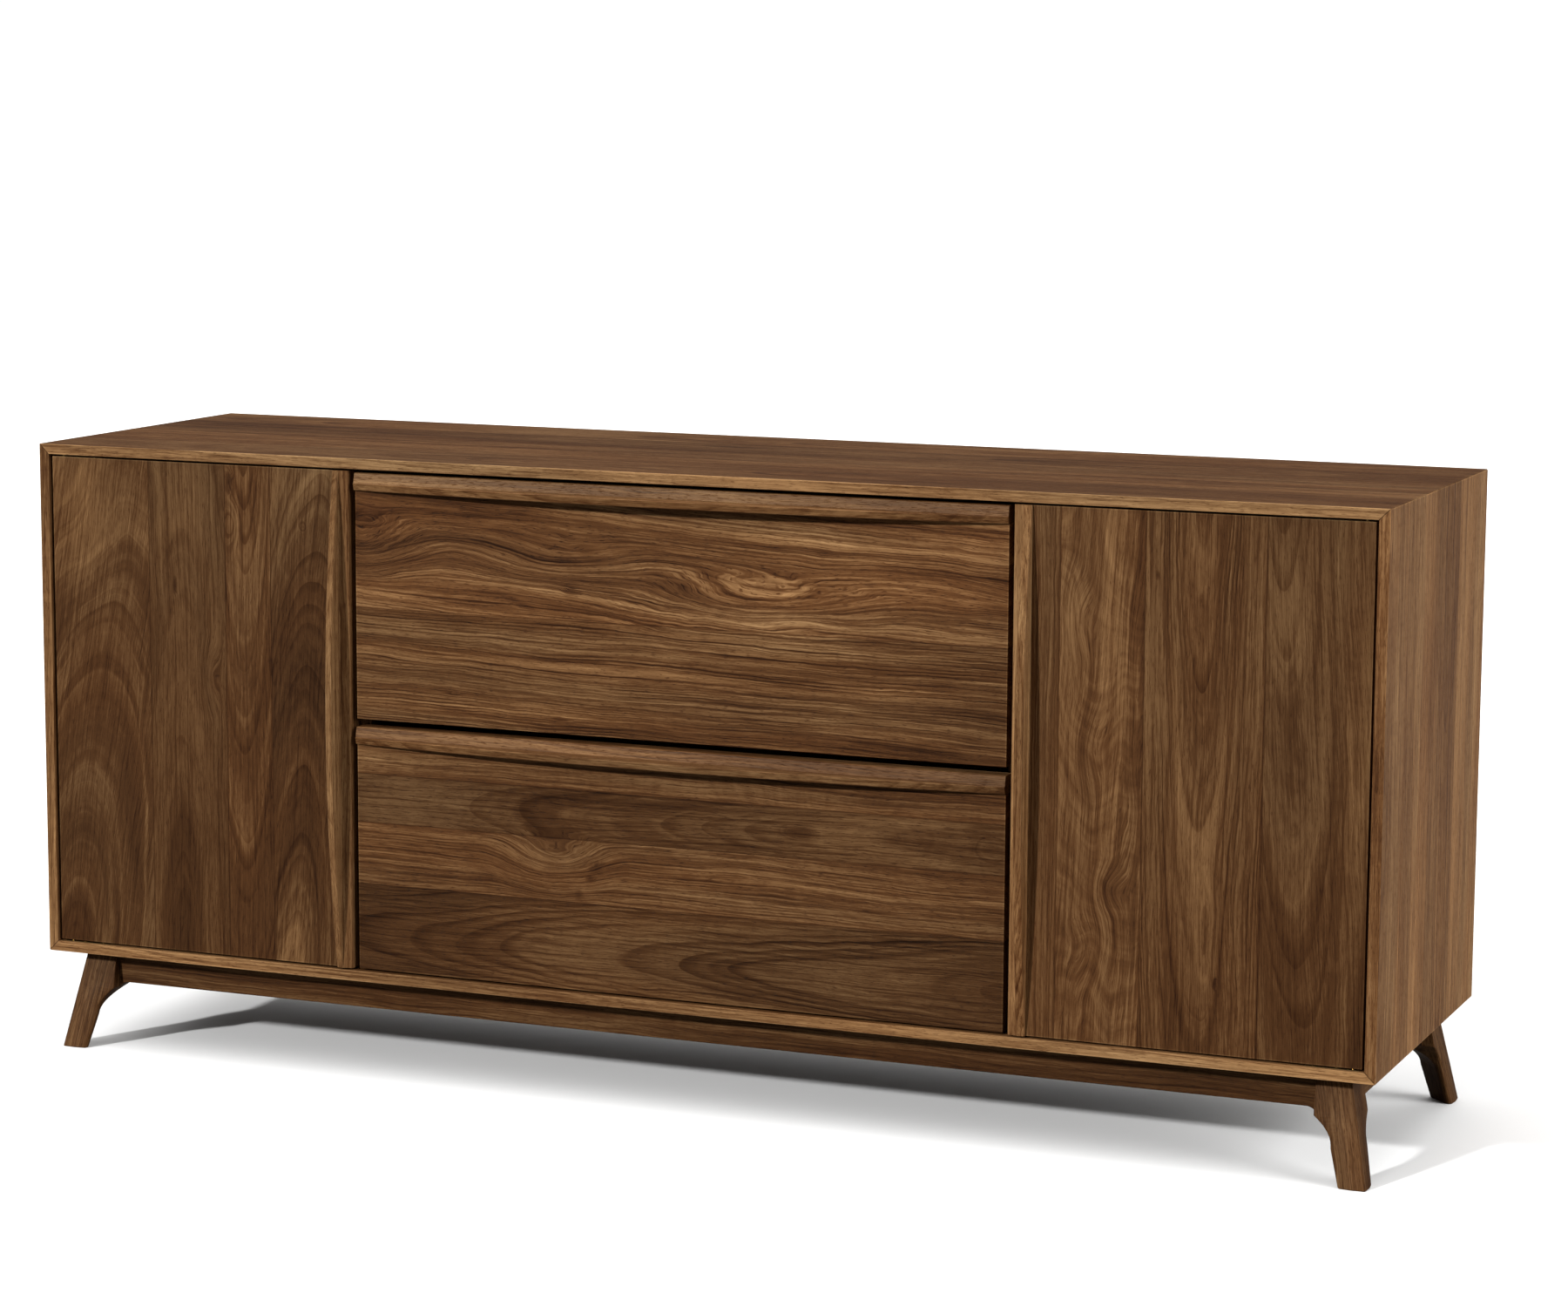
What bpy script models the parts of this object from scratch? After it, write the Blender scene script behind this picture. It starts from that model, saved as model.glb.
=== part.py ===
"""Sideboard buffet: mitred case on splayed legs, two doors beside two stacked drawers.

World frame: metres, +Z up, origin on the floor under the centre of the bounding box,
front facing -Y.  Lengths inside the case are written as distances: u in from the case's
outer side, d back from the case's front edge, h up from the underside of the case.
"""
import math

import bmesh
import bpy
from mathutils import Vector

# ---- driving dimensions ------------------------------------------------------------
CASE_WIDTH = 1.680
CASE_DEPTH = 0.463
CASE_HEIGHT = 0.6305
LEG_HEIGHT = 0.1235

PANEL_T = 0.019            # case boards behind the rebate
EDGE_T = 0.0127            # case boards at the front, where the doors are let in
REBATE_CLEARANCE = 0.0015  # behind the door's back corner as it swings
BACK_T = 0.006
BACK_RABBET = 0.0095
PARTITION_T = 0.019
GLUE_GAP = 0.0003          # clearance of every fixed joint

FRONT_T = 0.020            # doors and drawer fronts
DOOR_RECESS = 0.0035       # door face behind the case edge
DRAWER_RECESS = 0.0055
DOOR_SIDE_GAP = 0.0033
DOOR_END_GAP = 0.0025
BAY_GAP = 0.0070           # between a door and the drawers
DRAWER_FRONT_WIDTH = 0.818
DRAWER_TOP_GAP = 0.0045
DRAWER_MID_GAP = 0.0095

PULL_STRIP = 0.0120        # flat strip between the edge and the ledge
PULL_LEDGE = 0.0087        # thickness of the bowed ledge
PULL_EDGE_PROUD = 0.0017
PULL_ROOT_PROUD = 0.0042
PULL_END_PROUD = 0.0012    # ledge beyond its root at the two ends
PULL_BOW = 0.0230          # further projection at mid-length
PULL_LIP_SLOPE = 0.0020
PULL_EASE = 0.0008
PULL_STEPS = 32

LEG_TOP_INSET = 0.035
LEG_SPLAY = 0.200          # outward travel per unit of height
LEG_JOINT_INSET = 0.075
LEG_FOOT_WIDTH = 0.0320
LEG_TAPER = 0.275          # how fast the leg widens above its foot
LEG_SWEEP = 0.034          # height of the curve from the joint block into the leg
LEG_ARRIS = 0.003          # chamfer of the inner corner in the joint block
LEG_BACK_FLAT = 0.0075     # what is left of the inner faces beside the rounded back
LEG_FACE_BULGE = 0.0012
LEG_FACE_ROUND = 0.030
LEG_EASE = 0.0012
LEG_FOOT_EASE = 0.0010
APRON_INSET = 0.040
APRON_T = 0.020
APRON_HEIGHT = 0.0415
APRON_HAUNCH = 0.0060      # how far the apron's ends sweep down to the leg
APRON_HAUNCH_LENGTH = 0.0120

HINGE_AXIS_IN = 0.012      # from the door's outer edge
HINGE_AXIS_BACK = 0.008    # behind the door's face
HINGE_LEAF_LENGTH = 0.062
HINGE_LEAF_WIDTH = 0.011
HINGE_DOOR_LEAF_T = 0.0020
HINGE_CASE_LEAF_T = 0.0016
HINGE_LEAF_INSET = 0.004   # leaf's end from the door's outer edge
HINGE_PIN_RADIUS = 0.0020
HINGE_PIN_CLEARANCE = 0.0003
POCKET_OVERCUT = 0.001     # how far a cutting body runs out of the face it enters

BOX_SIDE_T = 0.012
BOX_HEIGHT = 0.200
BOX_LIFT = 0.030           # box underside above the drawer front's lower edge
BOX_REAR_SPACE = 0.0312    # from the drawer box to the back panel
BOX_BOTTOM_T = 0.006
BOX_GROOVE_LIFT = 0.010
BOX_GROOVE_DEPTH = 0.006

SLIDE_SPACE = 0.0127
SLIDE_HEIGHT = 0.045
SLIDE_SHEET = 0.0012
SLIDE_BALL_GAP = 0.0017    # from one member's flange to the next
SLIDE_WEB_GAP = 0.0008     # from one member's web to the next
SLIDE_TIP_STEP = 0.0022    # how far a flange stops short of the member it faces
SLIDE_STAGGER = 0.001      # each moving member sits this much inside the one outside it
SLIDE_FRONT_GAP = 0.006
SLIDE_LIFT = 0.080         # slide centre above the box underside

SHELF_T = 0.016
SHELF_SIDE_GAP = 0.0010
SHELF_FRONT_GAP = 0.030
SHELF_BACK_GAP = 0.004
SHELF_NOSE = 0.0015
SHELF_HEIGHT = 0.300

CATCH_WIDTH = 0.040
CATCH_DEPTH = 0.018
CATCH_HEIGHT = 0.012
CATCH_INSET = 0.060        # from the partition to the catch's near end
STRIKE_INSET = 0.004
STRIKE_END_INSET = 0.001
STRIKE_T = 0.0011
STRIKE_GAP = 0.0004

# ---- derived positions -------------------------------------------------------------
HALF_W = CASE_WIDTH / 2
PULL_TOTAL = PULL_STRIP + PULL_LEDGE
PULL_REACH = PULL_ROOT_PROUD + PULL_END_PROUD + PULL_BOW
FRONT_OVERHANG = PULL_REACH - DOOR_RECESS
CASE_FRONT_Y = -(CASE_DEPTH + FRONT_OVERHANG) / 2 + FRONT_OVERHANG
DOOR_OUTER_U = EDGE_T + DOOR_SIDE_GAP
DRAWER_U = HALF_W - DRAWER_FRONT_WIDTH / 2
DOOR_INNER_U = DRAWER_U - BAY_GAP
PARTITION_U = DRAWER_U - BAY_GAP / 2 - PARTITION_T / 2
DOOR_LOW_H = EDGE_T + DOOR_END_GAP
DOOR_HIGH_H = CASE_HEIGHT - EDGE_T - DOOR_END_GAP
DRAWER_HIGH_H = CASE_HEIGHT - EDGE_T - DRAWER_TOP_GAP
DRAWER_FRONT_HEIGHT = (DRAWER_HIGH_H - DOOR_LOW_H - DRAWER_MID_GAP) / 2
UPPER_LOW_H = DRAWER_HIGH_H - DRAWER_FRONT_HEIGHT
BAY_HALF = HALF_W - PARTITION_U - PARTITION_T
HINGE_U = DOOR_OUTER_U + HINGE_AXIS_IN
HINGE_D = DOOR_RECESS + HINGE_AXIS_BACK
BOX_LENGTH = CASE_DEPTH - BACK_T - DRAWER_RECESS - FRONT_T - GLUE_GAP - BOX_REAR_SPACE
SWING_RADIUS = math.hypot(HINGE_AXIS_IN, FRONT_T - HINGE_AXIS_BACK)
REBATE_DEPTH = HINGE_D + SWING_RADIUS + REBATE_CLEARANCE


def at_u(side, u):
    """World x at distance u in from the case's side: side -1 is left, +1 is right."""
    return side * (HALF_W - u)


def at_d(d):
    """World y at distance d behind the case's front edge."""
    return CASE_FRONT_Y + d


def at_h(h):
    """World z at height h above the underside of the case."""
    return LEG_HEIGHT + h


# ---- materials ---------------------------------------------------------------------
def material(name, colour, metallic, roughness):
    made = bpy.data.materials.new(name)
    made.use_nodes = True
    shader = made.node_tree.nodes["Principled BSDF"]
    shader.inputs["Base Color"].default_value = (*colour, 1.0)
    shader.inputs["Metallic"].default_value = metallic
    shader.inputs["Roughness"].default_value = roughness
    made.diffuse_color = (*colour, 1.0)
    return made


WOODS = {
    "walnut": (0.150, 0.082, 0.040),
    "maple": (0.560, 0.400, 0.230),
}
METALS = {
    "steel": (0.560, 0.570, 0.580),
    "brass": (0.600, 0.430, 0.190),
    "black_plastic": (0.030, 0.030, 0.032),
}


def own_material(name, kind):
    if kind in WOODS:
        return material(name + "_" + kind, WOODS[kind], 0.0, 0.45)
    metallic = 0.0 if kind == "black_plastic" else 1.0
    return material(name + "_" + kind, METALS[kind], metallic, 0.35)


# ---- mesh helpers ------------------------------------------------------------------
def add_object(name, kind, verts, faces, origin=(0.0, 0.0, 0.0)):
    """One closed body from world-space vertices, its object origin at the point given."""
    mesh = bpy.data.meshes.new(name)
    shift = Vector(origin)
    mesh.from_pydata([Vector(v) - shift for v in verts], [], faces)
    work = bmesh.new()
    work.from_mesh(mesh)
    bmesh.ops.recalc_face_normals(work, faces=work.faces)
    work.to_mesh(mesh)
    work.free()
    mesh.materials.append(own_material(name, kind))
    made = bpy.data.objects.new(name, mesh)
    made.location = shift
    bpy.context.scene.collection.objects.link(made)
    return made


def loft(name, kind, rings, origin=(0.0, 0.0, 0.0)):
    """Closed body through rings of equal length, capped at both ends."""
    count = len(rings[0])
    verts = [point for ring in rings for point in ring]
    faces = [list(range(count)), list(range(len(verts) - count, len(verts)))]
    for row in range(len(rings) - 1):
        low = row * count
        high = low + count
        for i in range(count):
            j = (i + 1) % count
            faces.append([low + i, low + j, high + j, high + i])
    return add_object(name, kind, verts, faces, origin)


def prism_x(name, kind, section, x0, x1, origin=(0.0, 0.0, 0.0)):
    """Section of (y, z) points run from x0 to x1."""
    rings = [[(x, y, z) for y, z in section] for x in (x0, x1)]
    return loft(name, kind, rings, origin)


def prism_y(name, kind, section, y0, y1, origin=(0.0, 0.0, 0.0)):
    """Section of (x, z) points run from y0 to y1."""
    rings = [[(x, y, z) for x, z in section] for y in (y0, y1)]
    return loft(name, kind, rings, origin)


def prism_z(name, kind, section, z0, z1, origin=(0.0, 0.0, 0.0)):
    """Section of (x, y) points run from z0 to z1."""
    rings = [[(x, y, z) for x, y in section] for z in (z0, z1)]
    return loft(name, kind, rings, origin)


def box(name, kind, low, high, origin=(0.0, 0.0, 0.0)):
    section = [(low[0], low[1]), (high[0], low[1]), (high[0], high[1]), (low[0], high[1])]
    return prism_z(name, kind, section, low[2], high[2], origin)


def circle(x, y, radius, count):
    turn = 2 * math.pi / count
    return [(x + radius * math.cos(turn * i), y + radius * math.sin(turn * i)) for i in range(count)]


def combine(made, tool, operation):
    """Apply one exact boolean between two bodies and drop the tool."""
    step = made.modifiers.new("combine", "BOOLEAN")
    step.operation = operation
    step.solver = "EXACT"
    step.object = tool
    graph = bpy.context.evaluated_depsgraph_get()
    result = bpy.data.meshes.new_from_object(made.evaluated_get(graph))
    made.modifiers.remove(step)
    result.materials.clear()
    result.materials.append(made.data.materials[0])
    for face in result.polygons:
        face.material_index = 0
    made.data = result
    bpy.data.objects.remove(tool, do_unlink=True)
    return made


# ---- case --------------------------------------------------------------------------
def board_section():
    """(d, t) outline of a mitred case board: t is depth from its outer face."""
    rabbet_d = CASE_DEPTH - BACK_T - GLUE_GAP
    rabbet_t = PANEL_T - BACK_RABBET
    return [
        (0.0, 0.0),
        (CASE_DEPTH, 0.0),
        (CASE_DEPTH, rabbet_t),
        (rabbet_d, rabbet_t),
        (rabbet_d, PANEL_T),
        (REBATE_DEPTH, PANEL_T),
        (REBATE_DEPTH, EDGE_T),
        (0.0, EDGE_T),
    ]


def make_case():
    mitre = GLUE_GAP * 0.75
    section = board_section()
    for name, top in (("top_panel", True), ("bottom_panel", False)):
        rings = []
        for side in (-1, 1):
            ring = []
            for d, t in section:
                h = CASE_HEIGHT - t if top else t
                ring.append((at_u(side, t + mitre), at_d(d), at_h(h)))
            rings.append(ring)
        loft(name, "walnut", rings)
    for name, side in (("left_side_panel", -1), ("right_side_panel", 1)):
        rings = []
        for low in (True, False):
            ring = []
            for d, t in section:
                h = t + mitre if low else CASE_HEIGHT - t - mitre
                ring.append((at_u(side, t), at_d(d), at_h(h)))
            rings.append(ring)
        loft(name, "walnut", rings)

    inner_low = PANEL_T + GLUE_GAP
    inner_high = CASE_HEIGHT - PANEL_T - GLUE_GAP
    back_d = CASE_DEPTH - BACK_T
    for name, side in (("left_partition", -1), ("right_partition", 1)):
        near = at_u(side, PARTITION_U)
        far = at_u(side, PARTITION_U + PARTITION_T)
        box(
            name,
            "walnut",
            (min(near, far), at_d(REBATE_DEPTH), at_h(inner_low)),
            (max(near, far), at_d(back_d - 2 * GLUE_GAP), at_h(inner_high)),
        )
    reach = PANEL_T - BACK_RABBET + GLUE_GAP
    box(
        "back_panel",
        "walnut",
        (at_u(-1, reach), at_d(back_d), at_h(reach)),
        (at_u(1, reach), at_d(CASE_DEPTH), at_h(CASE_HEIGHT - reach)),
    )


def make_shelves():
    depth_end = CASE_DEPTH - BACK_T - SHELF_BACK_GAP
    nose = SHELF_NOSE
    low = at_h(SHELF_HEIGHT)
    high = low + SHELF_T
    front = at_d(REBATE_DEPTH + SHELF_FRONT_GAP)
    section = [
        (front + nose, low),
        (at_d(depth_end), low),
        (at_d(depth_end), high),
        (front + nose, high),
        (front, high - nose),
        (front, low + nose),
    ]
    for name, side in (("left_shelf", -1), ("right_shelf", 1)):
        outer = at_u(side, PANEL_T + SHELF_SIDE_GAP)
        inner = at_u(side, PARTITION_U - SHELF_SIDE_GAP)
        prism_x(name, "walnut", section, min(outer, inner), max(outer, inner))


# ---- base --------------------------------------------------------------------------
def leg_inner_edge(drop):
    """u of the leg's inner arris at a drop below the case: block, sweep, then taper."""
    foot = LEG_TOP_INSET - LEG_SPLAY * LEG_HEIGHT + LEG_FOOT_WIDTH
    sweep_top = APRON_HEIGHT + APRON_HAUNCH
    sweep_end = sweep_top + LEG_SWEEP
    taper_u = foot + (LEG_HEIGHT - sweep_end) * LEG_TAPER
    if drop <= sweep_top:
        return LEG_JOINT_INSET
    if drop >= sweep_end:
        return foot + (LEG_HEIGHT - drop) * LEG_TAPER
    share = (drop - sweep_top) / (sweep_end - sweep_top)
    return taper_u + (LEG_JOINT_INSET - taper_u) * (1 - share) ** 2.0


def fillet_corner(points, index, radius, steps):
    """Rounded replacement for one polygon corner, as steps + 1 points."""
    here = Vector(points[index])
    before = Vector(points[index - 1])
    after = Vector(points[(index + 1) % len(points)])
    to_before = (before - here).normalized()
    to_after = (after - here).normalized()
    limit = min((before - here).length, (after - here).length) * 0.48
    half = to_before.angle(to_after) / 2
    reach = min(radius / math.tan(half), limit)
    start = here + to_before * reach
    end = here + to_after * reach
    bent = []
    for i in range(steps + 1):
        share = i / steps
        one = start.lerp(here, share)
        two = here.lerp(end, share)
        bent.append(one.lerp(two, share))
    return bent


def leg_ring(drop):
    """Leg section as (u, v) points, v being the inset from the case's front or back."""
    outer = LEG_TOP_INSET - LEG_SPLAY * drop
    width = leg_inner_edge(drop) - outer
    sweep_top = APRON_HEIGHT + APRON_HAUNCH
    lead = APRON_HAUNCH_LENGTH
    share = min(1.0, max(0.0, (drop - sweep_top + lead) / (lead + LEG_SWEEP)))
    ease = share * share * (3 - 2 * share)
    cut = LEG_ARRIS + (width - LEG_BACK_FLAT - LEG_ARRIS) * ease
    bulge = LEG_FACE_BULGE * ease
    corners = [
        (outer, outer),
        (outer + width / 2, outer - bulge),
        (outer + width, outer + bulge),
        (outer + width, outer + width - cut),
        (outer + width - cut, outer + width),
        (outer + bulge, outer + width),
        (outer - bulge, outer + width / 2),
    ]
    side_radius = LEG_EASE + LEG_FACE_BULGE * 4 * ease
    back_radius = LEG_EASE + LEG_BACK_FLAT * ease
    radii = [LEG_EASE, LEG_FACE_ROUND, side_radius, back_radius]
    radii += [back_radius, side_radius, LEG_FACE_ROUND]
    ring = []
    for index in range(len(corners)):
        ring.extend(fillet_corner(corners, index, radii[index], 3))
    return ring


def make_legs():
    sweep_top = APRON_HEIGHT + APRON_HAUNCH
    straight = LEG_HEIGHT - sweep_top - LEG_SWEEP
    drops = [GLUE_GAP] + [sweep_top * share for share in (0.25, 0.5, 0.72, 0.85, 0.94)]
    drops += [sweep_top + LEG_SWEEP * i / 9 for i in range(10)]
    drops += [sweep_top + LEG_SWEEP + straight * share for share in (0.2, 0.43, 0.66, 0.89)]
    for name, side, end in (
        ("leg_front_left", -1, "front"),
        ("leg_front_right", 1, "front"),
        ("leg_back_left", -1, "back"),
        ("leg_back_right", 1, "back"),
    ):
        rings = []
        for drop in drops + [LEG_HEIGHT - LEG_FOOT_EASE, LEG_HEIGHT]:
            ring = leg_ring(drop)
            if drop == LEG_HEIGHT:
                middle_u = sum(p[0] for p in ring) / len(ring)
                middle_v = sum(p[1] for p in ring) / len(ring)
                middle = Vector((middle_u, middle_v))
                ring = [p + (middle - p).normalized() * LEG_FOOT_EASE for p in ring]
            placed = []
            for u, v in ring:
                d = v if end == "front" else CASE_DEPTH - v
                placed.append((at_u(side, u), at_d(d), LEG_HEIGHT - drop))
            rings.append(placed)
        loft(name, "walnut", rings)


def apron_outline(half):
    """(across, h) outline of an apron whose ends sweep down to the legs."""
    steps = 6
    outline = [(-half, -GLUE_GAP), (half, -GLUE_GAP)]
    for i in range(steps + 1):
        share = i / steps
        sag = APRON_HAUNCH * (1 - share) ** 2
        outline.append((half - APRON_HAUNCH_LENGTH * share, -APRON_HEIGHT - sag))
    for i in range(steps + 1):
        share = 1 - i / steps
        sag = APRON_HAUNCH * (1 - share) ** 2
        outline.append((-half + APRON_HAUNCH_LENGTH * share, -APRON_HEIGHT - sag))
    return outline


def make_aprons():
    half_x = HALF_W - LEG_JOINT_INSET - GLUE_GAP
    section = [(x, at_h(h)) for x, h in apron_outline(half_x)]
    near = APRON_INSET
    far = APRON_INSET + APRON_T
    prism_y("front_apron", "walnut", section, at_d(near), at_d(far))
    prism_y("back_apron", "walnut", section, at_d(CASE_DEPTH - far), at_d(CASE_DEPTH - near))
    half_y = CASE_DEPTH / 2 - LEG_JOINT_INSET - GLUE_GAP
    middle = at_d(CASE_DEPTH / 2)
    section = [(middle + y, at_h(h)) for y, h in apron_outline(half_y)]
    for name, side in (("left_rail", -1), ("right_rail", 1)):
        ends = sorted((at_u(side, near), at_u(side, far)))
        prism_x(name, "walnut", section, ends[0], ends[1])


# ---- finger pulls ------------------------------------------------------------------
def make_pull(name, start, along, inward, length, origin):
    """Edge strip with a ledge that bows forward: its face looks along -Y."""
    outward = Vector((0.0, -1.0, 0.0))
    rings = []
    for i in range(PULL_STEPS + 1):
        share = i / PULL_STEPS
        bow = PULL_END_PROUD + PULL_BOW * (1 - (2 * share - 1) ** 2)
        ledge = PULL_ROOT_PROUD + bow
        lip = ledge - PULL_LIP_SLOPE
        profile = [
            (0.0, -FRONT_T),
            (0.0, PULL_EDGE_PROUD - PULL_EASE),
            (PULL_EASE, PULL_EDGE_PROUD),
            (PULL_STRIP, PULL_ROOT_PROUD),
            (PULL_STRIP, ledge - PULL_EASE),
            (PULL_STRIP + PULL_EASE, ledge),
            (PULL_TOTAL - PULL_EASE, lip),
            (PULL_TOTAL, lip - PULL_EASE),
            (PULL_TOTAL, -FRONT_T),
        ]
        base = Vector(start) + Vector(along) * (length * share)
        rings.append([base + Vector(inward) * s + outward * p for s, p in profile])
    return loft(name, "walnut", rings, origin)


# ---- doors -------------------------------------------------------------------------
def plate(name, kind, u0, u1, d0, d1, z0, z1, side, origin):
    ends = sorted((at_u(side, u0), at_u(side, u1)))
    return box(name, kind, (ends[0], at_d(d0), z0), (ends[1], at_d(d1), z1), origin)


def make_door(word, side):
    low = at_h(DOOR_LOW_H)
    high = at_h(DOOR_HIGH_H)
    axis = (at_u(side, HINGE_U), at_d(HINGE_D), low)
    panel_inner = DOOR_INNER_U - PULL_TOTAL - GLUE_GAP
    door_back = DOOR_RECESS + FRONT_T
    panel = plate(
        word + "_door_panel", "walnut", DOOR_OUTER_U, panel_inner,
        DOOR_RECESS, door_back, low, high, side, axis,
    )
    leaf_d0 = HINGE_D - HINGE_LEAF_WIDTH / 2
    leaf_d1 = HINGE_D + HINGE_LEAF_WIDTH / 2
    leaf_u0 = DOOR_OUTER_U + HINGE_LEAF_INSET
    leaf_u1 = leaf_u0 + HINGE_LEAF_LENGTH
    mortise = HINGE_DOOR_LEAF_T + GLUE_GAP
    for at_top in (True, False):
        z0 = high - mortise if at_top else low - POCKET_OVERCUT
        z1 = high + POCKET_OVERCUT if at_top else low + mortise
        cutter = plate(
            "mortise_tool", "steel", leaf_u0 - GLUE_GAP, leaf_u1 + GLUE_GAP,
            leaf_d0 - GLUE_GAP, leaf_d1 + GLUE_GAP, z0, z1, side, (0.0, 0.0, 0.0),
        )
        combine(panel, cutter, "DIFFERENCE")

    edge = (at_u(side, DOOR_INNER_U), at_d(DOOR_RECESS), low)
    make_pull(
        word + "_door_pull", edge, (0.0, 0.0, 1.0), (float(side), 0.0, 0.0), high - low, axis
    )

    for place, at_top in (("top", True), ("bottom", False)):
        up = 1 if at_top else -1
        edge_z = high if at_top else low
        leaf_z = sorted((edge_z, edge_z - up * HINGE_DOOR_LEAF_T))
        door_leaf = plate(
            "_".join((word, place, "hinge_door_leaf")), "brass", leaf_u0, leaf_u1,
            leaf_d0, leaf_d1, leaf_z[0], leaf_z[1], side, axis,
        )
        hole = circle(axis[0], axis[1], HINGE_PIN_RADIUS + HINGE_PIN_CLEARANCE, 32)
        drill = prism_z(
            "drill_tool", "steel", hole, leaf_z[0] - POCKET_OVERCUT, leaf_z[1] + POCKET_OVERCUT
        )
        combine(door_leaf, drill, "DIFFERENCE")

        wall_z = edge_z + up * DOOR_END_GAP
        pocket_z = sorted((wall_z - up * POCKET_OVERCUT, wall_z + up * (HINGE_CASE_LEAF_T + GLUE_GAP)))
        pocket = plate(
            "pocket_tool", "steel", leaf_u0 - GLUE_GAP, leaf_u1 + GLUE_GAP,
            leaf_d0 - GLUE_GAP, leaf_d1 + GLUE_GAP, pocket_z[0], pocket_z[1], side,
            (0.0, 0.0, 0.0),
        )
        combine(bpy.data.objects[place + "_panel"], pocket, "DIFFERENCE")
        case_z = sorted((wall_z, wall_z + up * HINGE_CASE_LEAF_T))
        case_leaf = plate(
            "_".join((word, place, "hinge_case_leaf")), "brass", leaf_u0, leaf_u1,
            leaf_d0, leaf_d1, case_z[0], case_z[1], side, (axis[0], axis[1], wall_z),
        )
        pin_end = edge_z - up * (HINGE_DOOR_LEAF_T - GLUE_GAP)
        pin_z = sorted((wall_z + up * HINGE_CASE_LEAF_T / 2, pin_end))
        disc = circle(axis[0], axis[1], HINGE_PIN_RADIUS, 32)
        pin = prism_z("pin_tool", "brass", disc, pin_z[0], pin_z[1])
        combine(case_leaf, pin, "UNION")

    catch_u1 = PARTITION_U - CATCH_INSET
    catch_u0 = catch_u1 - CATCH_WIDTH
    catch_high = at_h(CASE_HEIGHT - PANEL_T - GLUE_GAP)
    strike_d0 = door_back + GLUE_GAP
    strike_d1 = strike_d0 + STRIKE_T
    catch_d0 = strike_d1 + STRIKE_GAP
    plate(
        word + "_door_catch", "black_plastic", catch_u0, catch_u1,
        catch_d0, catch_d0 + CATCH_DEPTH, catch_high - CATCH_HEIGHT, catch_high, side,
        (at_u(side, catch_u0), at_d(catch_d0), catch_high),
    )
    plate(
        word + "_door_strike", "steel", catch_u0 + STRIKE_INSET, catch_u1 - STRIKE_INSET,
        strike_d0, strike_d1, catch_high - CATCH_HEIGHT + STRIKE_END_INSET,
        catch_high - STRIKE_END_INSET, side, axis,
    )


# ---- drawers -----------------------------------------------------------------------
def make_drawer(word, low_h):
    low = at_h(low_h)
    high = low + DRAWER_FRONT_HEIGHT
    half = DRAWER_FRONT_WIDTH / 2
    face_d = DRAWER_RECESS
    back_d = face_d + FRONT_T
    origin = (0.0, at_d(face_d), low)
    box(
        word + "_drawer_front", "walnut",
        (-half, at_d(face_d), low), (half, at_d(back_d), high - PULL_TOTAL - GLUE_GAP), origin,
    )
    make_pull(
        word + "_drawer_pull", (-half, at_d(face_d), high), (1.0, 0.0, 0.0),
        (0.0, 0.0, -1.0), DRAWER_FRONT_WIDTH, origin,
    )

    box_half = BAY_HALF - SLIDE_SPACE
    box_low = low + BOX_LIFT
    box_high = box_low + BOX_HEIGHT
    y0 = at_d(back_d + GLUE_GAP)
    y1 = y0 + BOX_LENGTH
    groove_z0 = box_low + BOX_GROOVE_LIFT
    groove_z1 = groove_z0 + BOX_BOTTOM_T + 2 * GLUE_GAP
    for place, side in (("left", -1), ("right", 1)):
        outer = side * box_half
        inner = side * (box_half - BOX_SIDE_T)
        deep = side * (box_half - BOX_SIDE_T + BOX_GROOVE_DEPTH)
        section = [
            (outer, box_low),
            (inner, box_low),
            (inner, groove_z0),
            (deep, groove_z0),
            (deep, groove_z1),
            (inner, groove_z1),
            (inner, box_high),
            (outer, box_high),
        ]
        prism_y("_".join((word, "drawer", place, "side")), "maple", section, y0, y1, origin)
    inside = box_half - BOX_SIDE_T - GLUE_GAP
    box(
        word + "_drawer_back", "maple",
        (-inside, y1 - BOX_SIDE_T, groove_z1), (inside, y1, box_high), origin,
    )
    tongue = box_half - BOX_SIDE_T + BOX_GROOVE_DEPTH - GLUE_GAP
    box(
        word + "_drawer_bottom", "maple",
        (-tongue, y0, groove_z0 + GLUE_GAP), (tongue, y1, groove_z0 + GLUE_GAP + BOX_BOTTOM_T),
        origin,
    )

    slide_z = box_low + SLIDE_LIFT
    for place, side in (("left", -1), ("right", 1)):
        make_slide("_".join((word, place, "slide")), side, slide_z, origin)


def channel(name, side, t_web, t_tip, half_height, slide_z, y0, y1, origin):
    """C-shaped steel member: t runs from the partition towards the drawer."""
    inwards = 1 if t_tip > t_web else -1
    web = t_web + inwards * SLIDE_SHEET
    thin = half_height - SLIDE_SHEET
    outline = [
        (t_web, -half_height),
        (t_tip, -half_height),
        (t_tip, -thin),
        (web, -thin),
        (web, thin),
        (t_tip, thin),
        (t_tip, half_height),
        (t_web, half_height),
    ]
    section = [(side * (BAY_HALF - t), slide_z + z) for t, z in outline]
    return prism_y(name, "steel", section, y0, y1, origin)


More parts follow.
